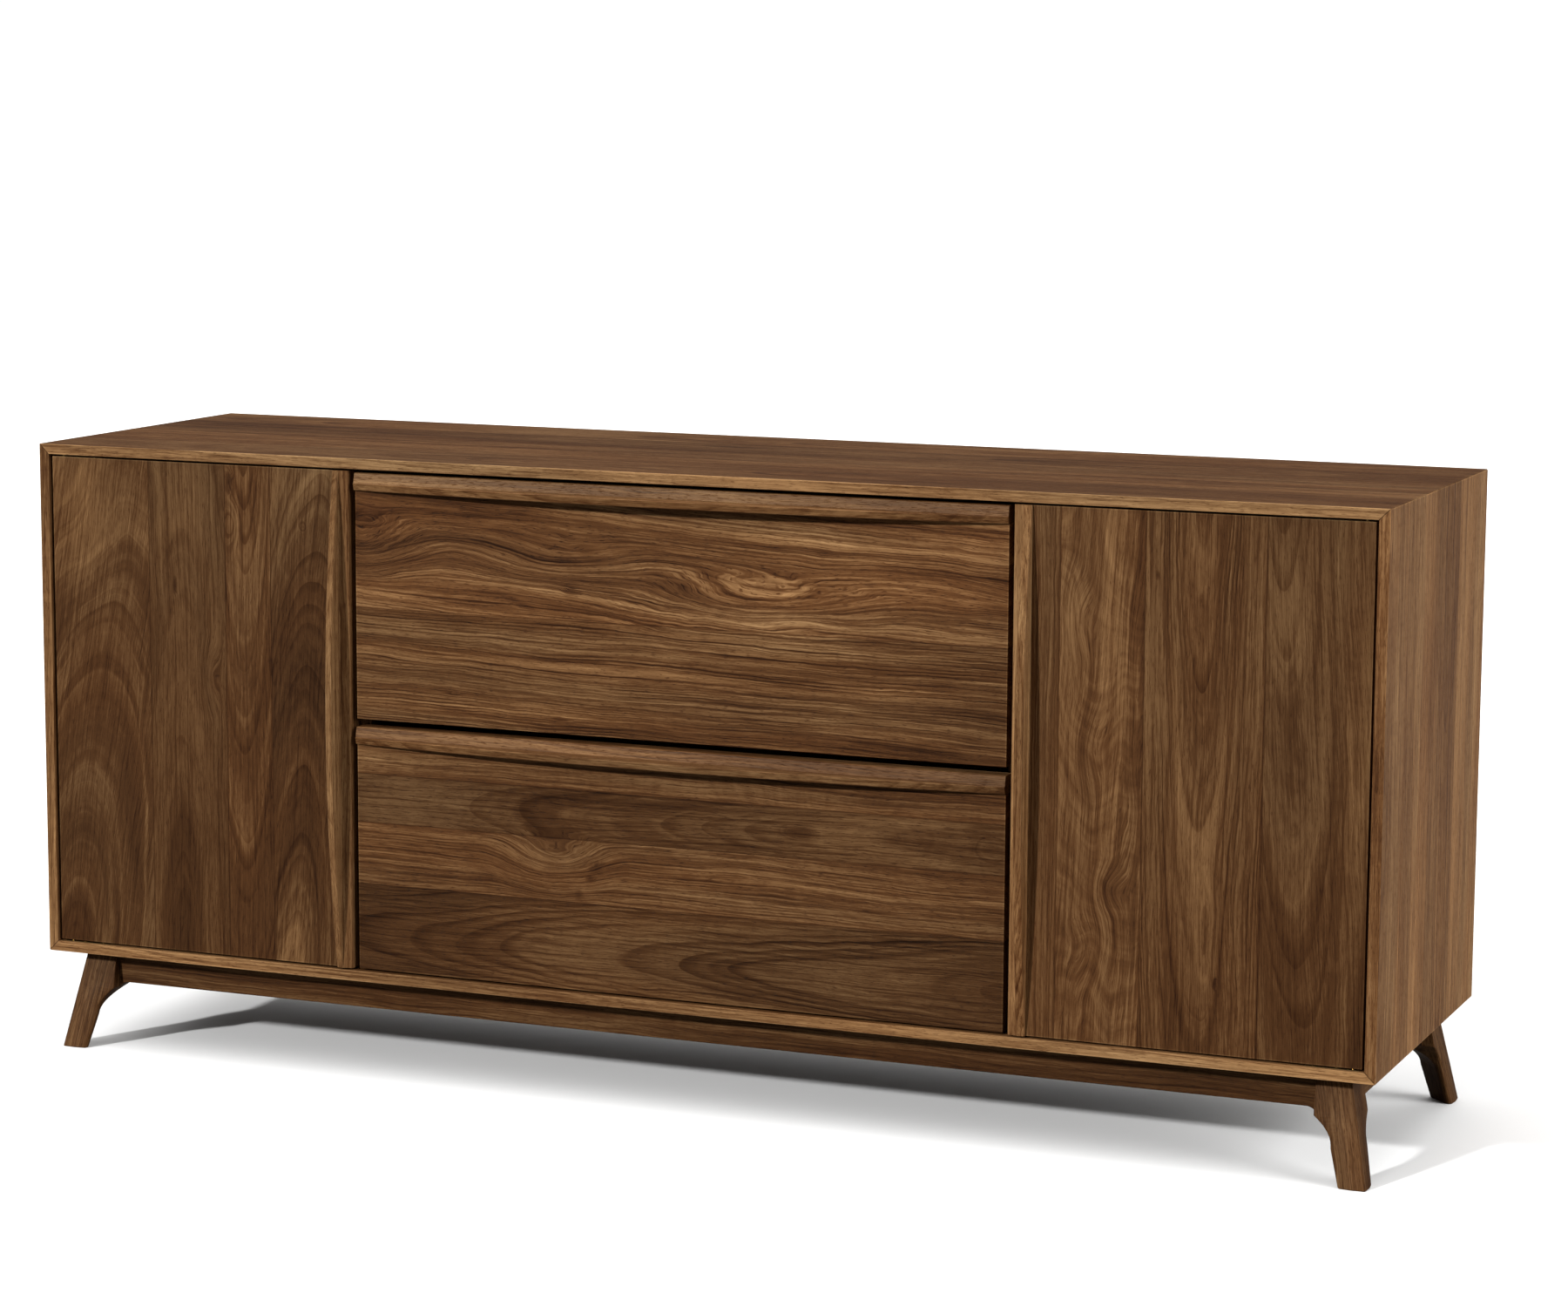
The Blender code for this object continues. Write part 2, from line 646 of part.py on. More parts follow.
def make_slide(stem, side, slide_z, origin):
    y0 = at_d(DRAWER_RECESS + FRONT_T + SLIDE_FRONT_GAP)
    y1 = y0 + BOX_LENGTH
    tall = SLIDE_HEIGHT / 2
    step = SLIDE_SHEET + SLIDE_BALL_GAP
    rest = (0.0, y0, slide_z)
    drawer_face = SLIDE_SPACE - GLUE_GAP
    middle_web = GLUE_GAP + SLIDE_SHEET + SLIDE_WEB_GAP
    inner_tip = middle_web + SLIDE_SHEET + SLIDE_WEB_GAP + SLIDE_BALL_GAP
    channel(
        stem + "_outer", side, GLUE_GAP, SLIDE_SPACE - SLIDE_TIP_STEP - SLIDE_STAGGER, tall,
        slide_z, y0, y1, rest,
    )
    channel(
        stem + "_middle", side, middle_web, SLIDE_SPACE - SLIDE_TIP_STEP, tall - step,
        slide_z, y0 + 2 * SLIDE_STAGGER, y1 - 2 * SLIDE_STAGGER, rest,
    )
    channel(
        stem + "_inner", side, drawer_face, inner_tip, tall - 2 * step,
        slide_z, y0 + SLIDE_STAGGER, y1 - 4 * SLIDE_STAGGER, origin,
    )


# ---- build -------------------------------------------------------------------------
for old in list(bpy.data.objects):
    bpy.data.objects.remove(old, do_unlink=True)

make_case()
make_shelves()
make_legs()
make_aprons()
make_door("left", -1)
make_door("right", 1)
make_drawer("upper", UPPER_LOW_H)
make_drawer("lower", DOOR_LOW_H)
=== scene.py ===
import math
import random

import bmesh
import bpy
from mathutils import Matrix, Vector
from mathutils.geometry import tessellate_polygon


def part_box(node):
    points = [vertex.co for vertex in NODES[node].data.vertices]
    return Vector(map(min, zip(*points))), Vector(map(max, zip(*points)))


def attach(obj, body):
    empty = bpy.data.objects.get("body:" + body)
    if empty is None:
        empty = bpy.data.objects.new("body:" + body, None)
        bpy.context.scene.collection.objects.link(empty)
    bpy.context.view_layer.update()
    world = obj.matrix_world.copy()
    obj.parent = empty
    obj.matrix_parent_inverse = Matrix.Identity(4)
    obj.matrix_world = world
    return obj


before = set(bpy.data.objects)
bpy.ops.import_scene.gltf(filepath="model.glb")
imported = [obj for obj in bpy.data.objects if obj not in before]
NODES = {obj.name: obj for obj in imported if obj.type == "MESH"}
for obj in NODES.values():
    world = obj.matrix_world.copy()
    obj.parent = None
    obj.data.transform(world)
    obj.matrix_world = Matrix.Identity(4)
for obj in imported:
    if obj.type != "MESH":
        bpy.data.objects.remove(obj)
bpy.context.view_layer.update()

LEFT_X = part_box("left_side_panel")[0].x
FRONT_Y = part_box("left_side_panel")[0].y
BACK_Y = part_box("left_side_panel")[1].y
UNDER_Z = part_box("bottom_panel")[0].z
TOP_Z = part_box("top_panel")[1].z


# ---- camera, light and stage -------------------------------------------------------
CAMERA_PLACE = (1.8928, -4.4915, 1.2390)
CAMERA_YAW = math.radians(22.28)
CAMERA_PITCH = math.radians(8.42)
CAMERA_ROLL = math.radians(0.328)
CAMERA_LENS = 94.35
CAMERA_SENSOR = 36.0
CAMERA_RANGE = (0.05, 100.0)

SEEN_STRENGTH = 1.05
GLOW_STOPS = (
    (0.05, (0.03, 0.029, 0.028)),    # level with the floor
    (0.80, (0.36, 0.355, 0.35)),     # overhead
)

# name, the way it shines, strength, spread in degrees, and whether it shows in reflections
SUNS = (
    ("sky", (0.20, 0.25, -1.0), 1.6, 60, True),
    ("key", (0.43, 0.90, -0.42), 3.5, 3.5, True),
    ("side", (-1.0, 0.16, -0.42), 3.2, 40, True),
    ("back", (0.10, -0.80, -0.70), 1.1, 60, False),
)

FLOOR_REACH = 40.0
FLOOR_PALE = ((0.93, 0.93, 0.925), (0.95, 0.95, 0.945))
FLOOR_BOUNCE = (0.14, 0.14, 0.14)


def make_camera():
    data = bpy.data.cameras.new("camera")
    data.lens = CAMERA_LENS
    data.sensor_width = CAMERA_SENSOR
    data.clip_start, data.clip_end = CAMERA_RANGE
    camera = bpy.data.objects.new("camera", data)
    bpy.context.scene.collection.objects.link(camera)
    forward = Vector((
        -math.sin(CAMERA_YAW) * math.cos(CAMERA_PITCH),
        math.cos(CAMERA_YAW) * math.cos(CAMERA_PITCH),
        -math.sin(CAMERA_PITCH),
    ))
    level = forward.cross(Vector((0, 0, 1))).normalized()
    above = level.cross(forward)
    right = level * math.cos(CAMERA_ROLL) + above * math.sin(CAMERA_ROLL)
    up = right.cross(forward)
    turn = Matrix((right, up, -forward)).transposed()
    camera.matrix_world = Matrix.Translation(CAMERA_PLACE) @ turn.to_4x4()
    bpy.context.scene.camera = camera


def make_world():
    """White where the camera looks past the object, a softer grey for what lights it."""
    world = bpy.data.worlds.new("studio")
    world.use_nodes = True
    tree = world.node_tree
    tree.nodes.clear()
    out = tree.nodes.new("ShaderNodeOutputWorld")
    seen = tree.nodes.new("ShaderNodeBackground")
    seen.inputs["Color"].default_value = rgb(1.0, 1.0, 1.0)
    seen.inputs["Strength"].default_value = SEEN_STRENGTH
    rays = tree.nodes.new("ShaderNodeTexCoord")
    parts = tree.nodes.new("ShaderNodeSeparateXYZ")
    tree.links.new(rays.outputs["Generated"], parts.inputs[0])
    sky = tree.nodes.new("ShaderNodeValToRGB")
    for element, (position, colour) in zip(sky.color_ramp.elements, GLOW_STOPS):
        element.position = position
        element.color = rgb(*colour)
    tree.links.new(parts.outputs["Z"], sky.inputs[0])
    glow = tree.nodes.new("ShaderNodeBackground")
    tree.links.new(sky.outputs[0], glow.inputs["Color"])
    path = tree.nodes.new("ShaderNodeLightPath")
    mix = tree.nodes.new("ShaderNodeMixShader")
    tree.links.new(path.outputs["Is Camera Ray"], mix.inputs[0])
    tree.links.new(glow.outputs[0], mix.inputs[1])
    tree.links.new(seen.outputs[0], mix.inputs[2])
    tree.links.new(mix.outputs[0], out.inputs["Surface"])
    bpy.context.scene.world = world


def sun_light(name, towards, strength, spread, glossy):
    data = bpy.data.lights.new(name, "SUN")
    data.energy = strength
    data.angle = math.radians(spread)
    lamp = bpy.data.objects.new(name, data)
    lamp.rotation_mode = "QUATERNION"
    lamp.rotation_quaternion = Vector(towards).to_track_quat("-Z", "Y")
    lamp.visible_glossy = glossy
    bpy.context.scene.collection.objects.link(lamp)


def make_floor():
    """A pale floor that throws little light back up at the object."""
    mesh = bpy.data.meshes.new("floor")
    corners = [(x * FLOOR_REACH, y * FLOOR_REACH, 0) for x, y in ((-1, -1), (1, -1), (1, 1), (-1, 1))]
    mesh.from_pydata(corners, [], [(0, 1, 2, 3)])
    floor = bpy.data.objects.new("floor", mesh)
    bpy.context.scene.collection.objects.link(floor)
    graph = Graph("floor_white")
    grain = graph.noise(graph.place, 3.0, 3.0, 0.6)
    pale = graph.mix(grain, *(rgb(*colour) for colour in FLOOR_PALE))
    path = graph.node("ShaderNodeLightPath")
    seen = graph.mix(path.outputs["Is Camera Ray"], rgb(*FLOOR_BOUNCE), pale)
    graph.feed(graph.shader.inputs["Base Color"], seen)
    graph.shader.inputs["Roughness"].default_value = 0.9
    graph.shader.inputs["Specular IOR Level"].default_value = 0.1
    mesh.materials.append(graph.material)


def make_stage():
    bpy.context.scene.view_settings.view_transform = "Standard"
    bpy.context.scene.view_settings.look = "None"
    make_world()
    for sun in SUNS:
        sun_light(*sun)
    make_floor()


# ---- node graphs -------------------------------------------------------------------
class Wire:
    """One value in a node graph; arithmetic on it adds Math nodes."""

    def __init__(self, graph, socket):
        self.graph = graph
        self.socket = socket

    def __add__(self, other):
        return self.graph.math("ADD", self, other)

    __radd__ = __add__

    def __sub__(self, other):
        return self.graph.math("SUBTRACT", self, other)

    def __rsub__(self, other):
        return self.graph.math("SUBTRACT", other, self)

    def __mul__(self, other):
        return self.graph.math("MULTIPLY", self, other)

    __rmul__ = __mul__

    def __truediv__(self, other):
        return self.graph.math("DIVIDE", self, other)


class Layer:
    """A noise pattern: its cycles in two directions, a shift that sets it apart, and its detail."""

    def __init__(self, first, second, shift=0.0, detail=2.0, rough=0.5):
        self.first = first
        self.second = second
        self.shift = shift
        self.detail = detail
        self.rough = rough


class Graph:
    """A material's node tree with short ways to add the nodes used here."""

    def __init__(self, name):
        self.material = bpy.data.materials.new(name)
        self.material.use_nodes = True
        self.tree = self.material.node_tree
        self.shader = self.tree.nodes["Principled BSDF"]
        self.place = self.node("ShaderNodeTexCoord").outputs["Object"]

    def node(self, kind, **settings):
        made = self.tree.nodes.new(kind)
        for key, value in settings.items():
            setattr(made, key, value)
        return made

    def feed(self, socket, value):
        if isinstance(value, Wire):
            self.tree.links.new(value.socket, socket)
        elif isinstance(value, bpy.types.NodeSocket):
            self.tree.links.new(value, socket)
        else:
            socket.default_value = value

    def math(self, operation, *values, clamp=False):
        made = self.node("ShaderNodeMath", operation=operation, use_clamp=clamp)
        for i, value in enumerate(values):
            self.feed(made.inputs[i], value)
        return Wire(self, made.outputs[0])

    def clamp(self, value):
        return self.math("ADD", value, 0.0, clamp=True)

    def smooth(self, value, low, high):
        made = self.node("ShaderNodeMapRange", interpolation_type="SMOOTHSTEP")
        self.feed(made.inputs["Value"], value)
        made.inputs["From Min"].default_value = low
        made.inputs["From Max"].default_value = high
        return Wire(self, made.outputs["Result"])

    def axes(self):
        made = self.node("ShaderNodeSeparateXYZ")
        self.feed(made.inputs[0], self.place)
        return [Wire(self, s) for s in made.outputs]

    def vector(self, x, y, z):
        made = self.node("ShaderNodeCombineXYZ")
        for i, value in enumerate((x, y, z)):
            self.feed(made.inputs[i], value)
        return made.outputs[0]

    def noise(self, vector, scale, detail, roughness):
        made = self.node("ShaderNodeTexNoise")
        self.feed(made.inputs["Vector"], vector)
        made.inputs["Scale"].default_value = scale
        made.inputs["Detail"].default_value = detail
        made.inputs["Roughness"].default_value = roughness
        return Wire(self, made.outputs[0])

    def pattern(self, layer, x, y, z):
        """A layer's noise, with its cycles along x and y."""
        shifted = z + layer.shift if layer.shift else z
        place = self.vector(x * layer.first, y * layer.second, shifted)
        return self.noise(place, 1.0, layer.detail, layer.rough)

    def hill(self, along, across, at, span, turn):
        """1 in the middle of an oval, falling smoothly to 0 at its rim."""
        made = self.node("ShaderNodeMapping", vector_type="TEXTURE")
        self.feed(made.inputs["Vector"], self.vector(along, across, 0.0))
        made.inputs["Location"].default_value = (at[0], at[1], 0.0)
        made.inputs["Rotation"].default_value = (0.0, 0.0, turn)
        made.inputs["Scale"].default_value = (span[0], span[1], 1.0)
        length = self.node("ShaderNodeVectorMath", operation="LENGTH")
        self.tree.links.new(made.outputs[0], length.inputs[0])
        fall = self.node("ShaderNodeMapRange", interpolation_type="SMOOTHSTEP")
        self.tree.links.new(length.outputs["Value"], fall.inputs["Value"])
        fall.inputs["From Min"].default_value = 1.0
        fall.inputs["From Max"].default_value = 0.0
        return Wire(self, fall.outputs["Result"])

    def ramp(self, value, stops):
        made = self.node("ShaderNodeValToRGB")
        elements = made.color_ramp.elements
        while len(elements) < len(stops):
            elements.new(1.0)
        for element, (position, colour) in zip(elements, stops):
            element.position = position
            element.color = rgb(*colour)
        self.feed(made.inputs[0], value)
        return made.outputs[0]

    def mix(self, share, one, two, blend="MIX"):
        made = self.node("ShaderNodeMix", data_type="RGBA", blend_type=blend)
        self.feed(made.inputs[0], share)
        self.feed(made.inputs[6], one)
        self.feed(made.inputs[7], two)
        return made.outputs[2]

    def bump(self, height, strength, distance):
        made = self.node("ShaderNodeBump")
        made.inputs["Strength"].default_value = strength
        made.inputs["Distance"].default_value = distance
        self.feed(made.inputs["Height"], height)
        self.tree.links.new(made.outputs[0], self.shader.inputs["Normal"])


def rgb(r, g, b):
    return (r, g, b, 1.0)


# ---- walnut ------------------------------------------------------------------------
WALNUT_STOPS = (
    (0.00, (0.0100, 0.0034, 0.0014)),
    (0.25, (0.0340, 0.0125, 0.0044)),
    (0.50, (0.0760, 0.0320, 0.0112)),
    (0.75, (0.1650, 0.0860, 0.0355)),
    (1.00, (0.3000, 0.1720, 0.0760)),
)
WARM_TINT = (1.03, 0.98, 0.93)
COOL_TINT = (0.98, 1.01, 1.03)
SHEEN_TINT = (1.0, 0.80, 0.58)
LAST = 9.0               # the end of a piece's last board, past any piece
BOARD_SHIFT = 3.7        # keeps the noise of neighbouring boards apart


# cycles per metre along the grain, and per metre across it
DRIFT = Layer(2.2, 9.0)
WOBBLE = Layer(9.0, 34.0, detail=3.0, rough=0.55)
FEATHER = Layer(26.0, 55.0, shift=30.0)
CLOUD = Layer(3.0, 12.0, shift=9.0)
# cycles per growth ring, and per metre along the grain
WANDER = Layer(0.23, 1.1, detail=4.0, rough=0.6)
CHOICE = Layer(0.45, 2.0, shift=7.0)
BANDS = Layer(0.27, 1.2, shift=4.0, detail=5.0, rough=0.66)
ZONES = Layer(0.10, 0.8, shift=21.0, detail=1.0, rough=0.45)
TINTS = Layer(0.10, 1.3, shift=14.0)
# cycles per metre along the grain, and per metre through the end grain
STREAKS = Layer(3.0, 270.0, detail=4.0, rough=0.80)
THREADS = Layer(5.0, 360.0, shift=5.0, rough=0.6)
FIBRES = Layer(34.0, 800.0, rough=0.6)
DASHES = Layer(110.0, 1300.0, detail=1.0)

# metres that the grain wanders sideways, and the heart of the tree up and down
DRIFT_SIDEWAYS = 0.024
DRIFT_DEEP = 0.010
WOBBLE_SIDEWAYS = 0.0060
FEATHER_SIDEWAYS = 0.0022
RING_WANDER = 2.2            # in growth rings
SPOT_RAGGED = (0.20, 0.5)    # how ragged a spot's rim is, along and across
ZONE_RAGGED = 0.16

# cycles of the cross figure per metre along the grain, per unit of drift, and per metre across
SHINE_ALONG = 62.0
SHINE_DRIFT = 26.0
SHINE_SLANT = 30.0
SHINE_ACROSS = 14.0

# where each feature begins and where it is full
LATE_RISE = (0.45, 0.96)
LATE_END = (0.96, 1.0)
LATE_CHOICE = (0.38, 0.66)
OUTLINE = (0.002, 0.016)
THREAD_EDGE = (0.54, 0.60)
PORE_EDGE = (0.58, 0.72)
ARCH_RISE = (-1.0, 0.0)
ARCH_END = (0.0, 0.25)
ARCH_CHOICE = (0.30, 0.58)
SEAM_EDGE = (0.0002, 0.0011)
FRONT_EDGE = (0.0004, 0.0010)
TINT_EDGE = (0.35, 0.68)

# how far each feature lightens or darkens the wood
MIDDLE = 0.56
BAND_SHARE = 0.80
ZONE_SHARE = 0.70
OUTLINE_SHARE = 2.0
THREAD_SHARE = 0.13
LATE_SHARE = 1.3
STREAK_SHARE = 1.7
FIBRE_SHARE = 0.42
PORE_SHARE = 0.20
CLOUD_SHARE = 0.22
SHINE_SHARE = 1.1
SEAM_SHARE = 0.16
SPOT_TONE_STREAKED = (2.6, -0.3)
WORN_AND_LIT_EDGE_WIDTH = 0.0022
SHEEN_LEVEL = 0.08
WALNUT_BUMP = 0.00022


class Board:
    """One board of a panel.

    end: where it ends across.  pith: where the heart of the tree lies across, drifting by lean
    along the board.  deep: how far the heart lies under the face, growing by climb along the
    board.  rings: their spacing.  tone and light: its shade.  band, line, streak, curl and
    flare: how strong the colour bands, latewood lines, fine streaks, cross figure and light
    outlines are.
    """

    def __init__(self, end, pith, lean=0.0, deep=0.06, climb=0.03, rings=0.0042, tone=1.0,
                 light=0.0, band=1.0, line=0.12, streak=0.40, curl=0.1, flare=0.06):
        self.end = end
        self.pith = pith
        self.lean = lean
        self.deep = deep
        self.climb = climb
        self.rings = rings
        self.tone = tone
        self.light = light
        self.band = band
        self.line = line
        self.streak = streak
        self.curl = curl
        self.flare = flare


class Spot:
    """An oval feature of the figure, soft at its rim and turned by turn.

    at and span are along and across the grain.  rise lifts the rings there, push shifts the
    grain sideways, and shade lightens or darkens the wood.
    """

    def __init__(self, at, span, rise=0.0, push=0.0, shade=0.0, turn=0.0):
        self.at = at
        self.span = span
        self.rise = rise
        self.push = push
        self.shade = shade
        self.turn = turn


class Arch:
    """A light or dark growth band of one board, whose tip lies at a place along the grain."""

    def __init__(self, board, tip, width, shade):
        self.board = board
        self.tip = tip
        self.width = width
        self.shade = shade


def edge_mask(graph, xyz, low, high, width):
    """1 on the arrises of a box, 0 on its faces."""
    gaps = []
    for letter in "xyz":
        wire = xyz[letter]
        low_gap = wire - getattr(low, letter)
        high_gap = getattr(high, letter) - wire
        gaps.append(graph.math("MINIMUM", low_gap, high_gap))
    small = graph.math("MINIMUM", gaps[0], gaps[1])
    large = graph.math("MAXIMUM", gaps[0], gaps[1])
    second = graph.math("MAXIMUM", small, graph.math("MINIMUM", large, gaps[2]))
    return 1.0 - graph.smooth(second, 0.0, width)


class Stock:
    """The boards of one piece, and where each point of it lies in them.

    along, wide and deep are metres along the grain, across it and in from the face.  bent is
    metres from the heart's line, tree the distance from the heart, and ring the same in growth
    rings after the spots have moved it.
    """

    def __init__(self, graph, node, grain, across, boards, seed, spots, shear, face):
        self.graph = graph
        self.boards = boards
        self.spots = spots
        self.xyz = dict(zip("xyz", graph.axes()))
        self.low, self.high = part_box(node)
        depth = next(a for a in "xyz" if a not in (grain, across))
        self.along = self.xyz[grain]
        self.wide = self.xyz[across]
        if face == "low":
            self.deep = self.xyz[depth] - getattr(self.low, depth)
        else:
            self.deep = getattr(self.high, depth) - self.xyz[depth]
        if shear[0]:
            self.wide = self.wide + self.along * shear[0]
        if shear[1]:
            self.deep = self.deep + self.along * shear[1]
        self.beyond = [graph.math("GREATER_THAN", self.wide, board.end) for board in boards[:-1]]
        self.index = self.pick([i * BOARD_SHIFT + seed for i in range(len(boards))])
        self.bend()

    def pick(self, values):
        """The value of the board that a point lies on."""
        total = values[0]
        for i, step in enumerate(self.beyond):
            change = values[i + 1] - values[i]
            if abs(change) > 1e-9:
                total = self.graph.math("MULTIPLY_ADD", step, change, total)
        return total

    def of_board(self, key, scale=1.0):
        return self.pick([getattr(board, key) * scale for board in self.boards])

    def gather(self, key, start):
        """start plus what each spot adds to it."""
        total = start
        for spot, field in zip(self.spots, self.fields):
            amount = getattr(spot, key)
            if amount:
                total = self.graph.math("MULTIPLY_ADD", field, amount, total)
        return total

    def on_face(self, layer):
        return self.graph.pattern(layer, self.along, self.wide, self.index)

    def in_rings(self, layer):
        return self.graph.pattern(layer, self.ring, self.along, self.index)

    def in_fibres(self, layer):
        through = self.deep * layer.second + self.index
        return self.graph.pattern(layer, self.along, self.bent, through)

    def bend(self):
        """Lets the grain wander, runs it round the spots and counts the rings."""
        graph = self.graph
        self.drift = self.on_face(DRIFT) - 0.5
        wobble = self.on_face(WOBBLE) - 0.5
        self.fields = []
        for spot in self.spots:
            along = self.along + wobble * (SPOT_RAGGED[0] * spot.span[0])
            wide = self.wide + wobble * (SPOT_RAGGED[1] * spot.span[1])
            self.fields.append(graph.hill(along, wide, spot.at, spot.span, spot.turn))
        off = self.wide - self.of_board("pith") - self.along * self.of_board("lean")
        feather = self.on_face(FEATHER) - 0.5
        off = off + self.drift * DRIFT_SIDEWAYS + wobble * WOBBLE_SIDEWAYS
        off = off + feather * FEATHER_SIDEWAYS
        self.bent = self.gather("push", off)
        under = self.along * self.of_board("climb") + self.of_board("deep")
        under = under + self.drift * DRIFT_DEEP + self.deep
        self.tree = graph.math("SQRT", self.bent * self.bent + under * under)
        self.ring = self.gather("rise", self.tree) / self.of_board("rings")
        self.ring = self.ring + self.in_rings(WANDER) * RING_WANDER

    def latewood(self, choice):
        """The thin dark end of each ring, on some of the rings."""
        graph = self.graph
        step = graph.math("FRACT", self.ring)
        late = graph.smooth(step, *LATE_RISE) * (1.0 - graph.smooth(step, *LATE_END))
        return late * graph.smooth(choice, *LATE_CHOICE)

    def add_arches(self, value, arches, streak, choice):
        graph = self.graph
        for arch in arches:
            board = self.boards[arch.board]
            near = (self.tree - abs(board.deep + board.climb * arch.tip)) / arch.width
            band = graph.smooth(near, *ARCH_RISE) * (1.0 - graph.smooth(near, *ARCH_END))
            inside = self.pick([float(i == arch.board) for i in range(len(self.boards))])
            strength = (streak + 0.5) * graph.smooth(choice, *ARCH_CHOICE) * arch.shade
            value = graph.math("MULTIPLY_ADD", band * inside, strength, value)
        return value

    def add_spot_tones(self, value, streak):
        if not self.spots:
            return value
        graph = self.graph
        strength = graph.math("MULTIPLY_ADD", streak, *SPOT_TONE_STREAKED)
        return graph.math("MULTIPLY_ADD", self.gather("shade", 0.0), strength, value)

    def add_seams(self, value):
        for board in self.boards[:-1]:
            seam = self.graph.math("ABSOLUTE", self.wide - board.end)
            value = value - (1.0 - self.graph.smooth(seam, *SEAM_EDGE)) * SEAM_SHARE
        return value


def walnut(name, node, grain, across, boards, seed=0.0, spots=(), shear=(0.0, 0.0),
           contrast=1.0, lift=0.0, wear=0.35, face="low", painted_edge_light=0.0, arches=(), dark=1.0,
           fine=1.0):
    """Oiled walnut.

    grain and across are axis letters, and face is the side that the boards look to.  contrast
    scales the broad figure and fine the fine lines.  lift and dark shade the whole piece.  The
    edge argument paints light on its front edge face: a painted highlight, or painted shade
    when below zero.  The wear argument lightens its arrises: partly worn edges, partly a
    painted arris highlight.
    """
    graph = Graph(name)
    stock = Stock(graph, node, grain, across, boards, seed, spots, shear, face)
    choice = stock.in_rings(CHOICE)
    late = stock.latewood(choice)
    bands = stock.in_rings(BANDS)
    zone = stock.in_rings(ZONES)
    between = graph.math("ABSOLUTE", zone - 0.5 + (bands - 0.5) * ZONE_RAGGED)
    outline = 1.0 - graph.smooth(between, *OUTLINE)
    streak = stock.in_fibres(STREAKS)
    thread = graph.smooth(stock.in_fibres(THREADS), *THREAD_EDGE)
    fibre = stock.in_fibres(FIBRES)
    pore = graph.smooth(stock.in_fibres(DASHES), *PORE_EDGE)
    cloud = stock.on_face(CLOUD)
    ripple = stock.along * SHINE_ALONG + stock.drift * SHINE_DRIFT + stock.bent * SHINE_SLANT
    place = graph.vector(ripple, stock.bent * SHINE_ACROSS, stock.index + 2.0)
    shine = graph.noise(place, 1.0, 3.0, 0.55)

    value = (
        MIDDLE + lift
        + (bands - 0.5) * stock.of_board("band", BAND_SHARE * contrast)
        + (zone - 0.5) * stock.of_board("band", ZONE_SHARE * contrast)
        + outline * streak * stock.of_board("flare", OUTLINE_SHARE)
        - thread * (THREAD_SHARE * fine)
        - late * stock.of_board("line", LATE_SHARE)
        + (streak - 0.5) * stock.of_board("streak", STREAK_SHARE * fine)
        + (fibre - 0.5) * FIBRE_SHARE
        - pore * (PORE_SHARE * fine)
        + (cloud - 0.5) * CLOUD_SHARE
        + (shine - 0.5) * stock.of_board("curl", SHINE_SHARE)
        + stock.of_board("light")
    )
    value = stock.add_arches(value, arches, streak, choice)
    value = stock.add_spot_tones(value, streak)
    value = stock.add_seams(value)
    # Painted light on the front edge face: a painted highlight, or painted shade where the amount is
    # below zero.
    if painted_edge_light:
        front = 1.0 - graph.smooth(stock.xyz["y"] - FRONT_Y, *FRONT_EDGE)
        value = value + front * painted_edge_light
    # Lightened arrises: partly worn edges, partly a painted arris highlight.
    if wear:
        arris_band = edge_mask(graph, stock.xyz, stock.low, stock.high, WORN_AND_LIT_EDGE_WIDTH)
        value = value + arris_band * (cloud + 0.4) * (wear * 0.5)

    colour = graph.ramp(value, WALNUT_STOPS)
    warmth = graph.smooth(stock.in_rings(TINTS), *TINT_EDGE)
    colour = graph.mix(1.0, colour, graph.mix(warmth, rgb(*WARM_TINT), rgb(*COOL_TINT)), "MULTIPLY")
    tone = stock.of_board("tone", dark)
    colour = graph.mix(1.0, colour, graph.vector(tone, tone, tone), "MULTIPLY")
    graph.feed(graph.shader.inputs["Base Color"], colour)
    rough = graph.clamp(0.42 + (streak - 0.5) * 0.16 + pore * 0.18 - late * 0.05)
    graph.feed(graph.shader.inputs["Roughness"], rough)
    graph.shader.inputs["Specular IOR Level"].default_value = SHEEN_LEVEL
    graph.shader.inputs["Specular Tint"].default_value = rgb(*SHEEN_TINT)
    graph.bump(streak * 0.35 + fibre * 0.25 - pore * 0.9 - late * 0.15, 0.5, WALNUT_BUMP)
    return graph.material


def plain_boards(low, high, count, seed):
    """Boards of uneven width between two positions, in a fixed order of draws."""
    draw = random.Random(seed)
    shares = [draw.uniform(0.75, 1.25) for _ in range(count)]
    total = sum(shares)
    boards = []
    at = low
    for share in shares:
        width = (high - low) * share / total
        boards.append(
            Board(
                at + width,
                pith=at + width * draw.uniform(-0.5, 1.5),
                deep=draw.uniform(0.03, 0.09),
                climb=draw.choice((-1, 1)) * draw.uniform(0.01, 0.05),
                rings=draw.uniform(0.0030, 0.0050),
                tone=draw.uniform(0.90, 1.10),
                light=draw.uniform(-0.04, 0.05),
                curl=draw.uniform(0.0, 0.20),
            )
        )
        at += width
    return boards


def cover_in_walnut(node, grain, across, boards, seed, **looks):
    """Walnut of its own for one node."""
    put_on(node, walnut("walnut_" + node, node, grain, across, boards, seed, **looks))


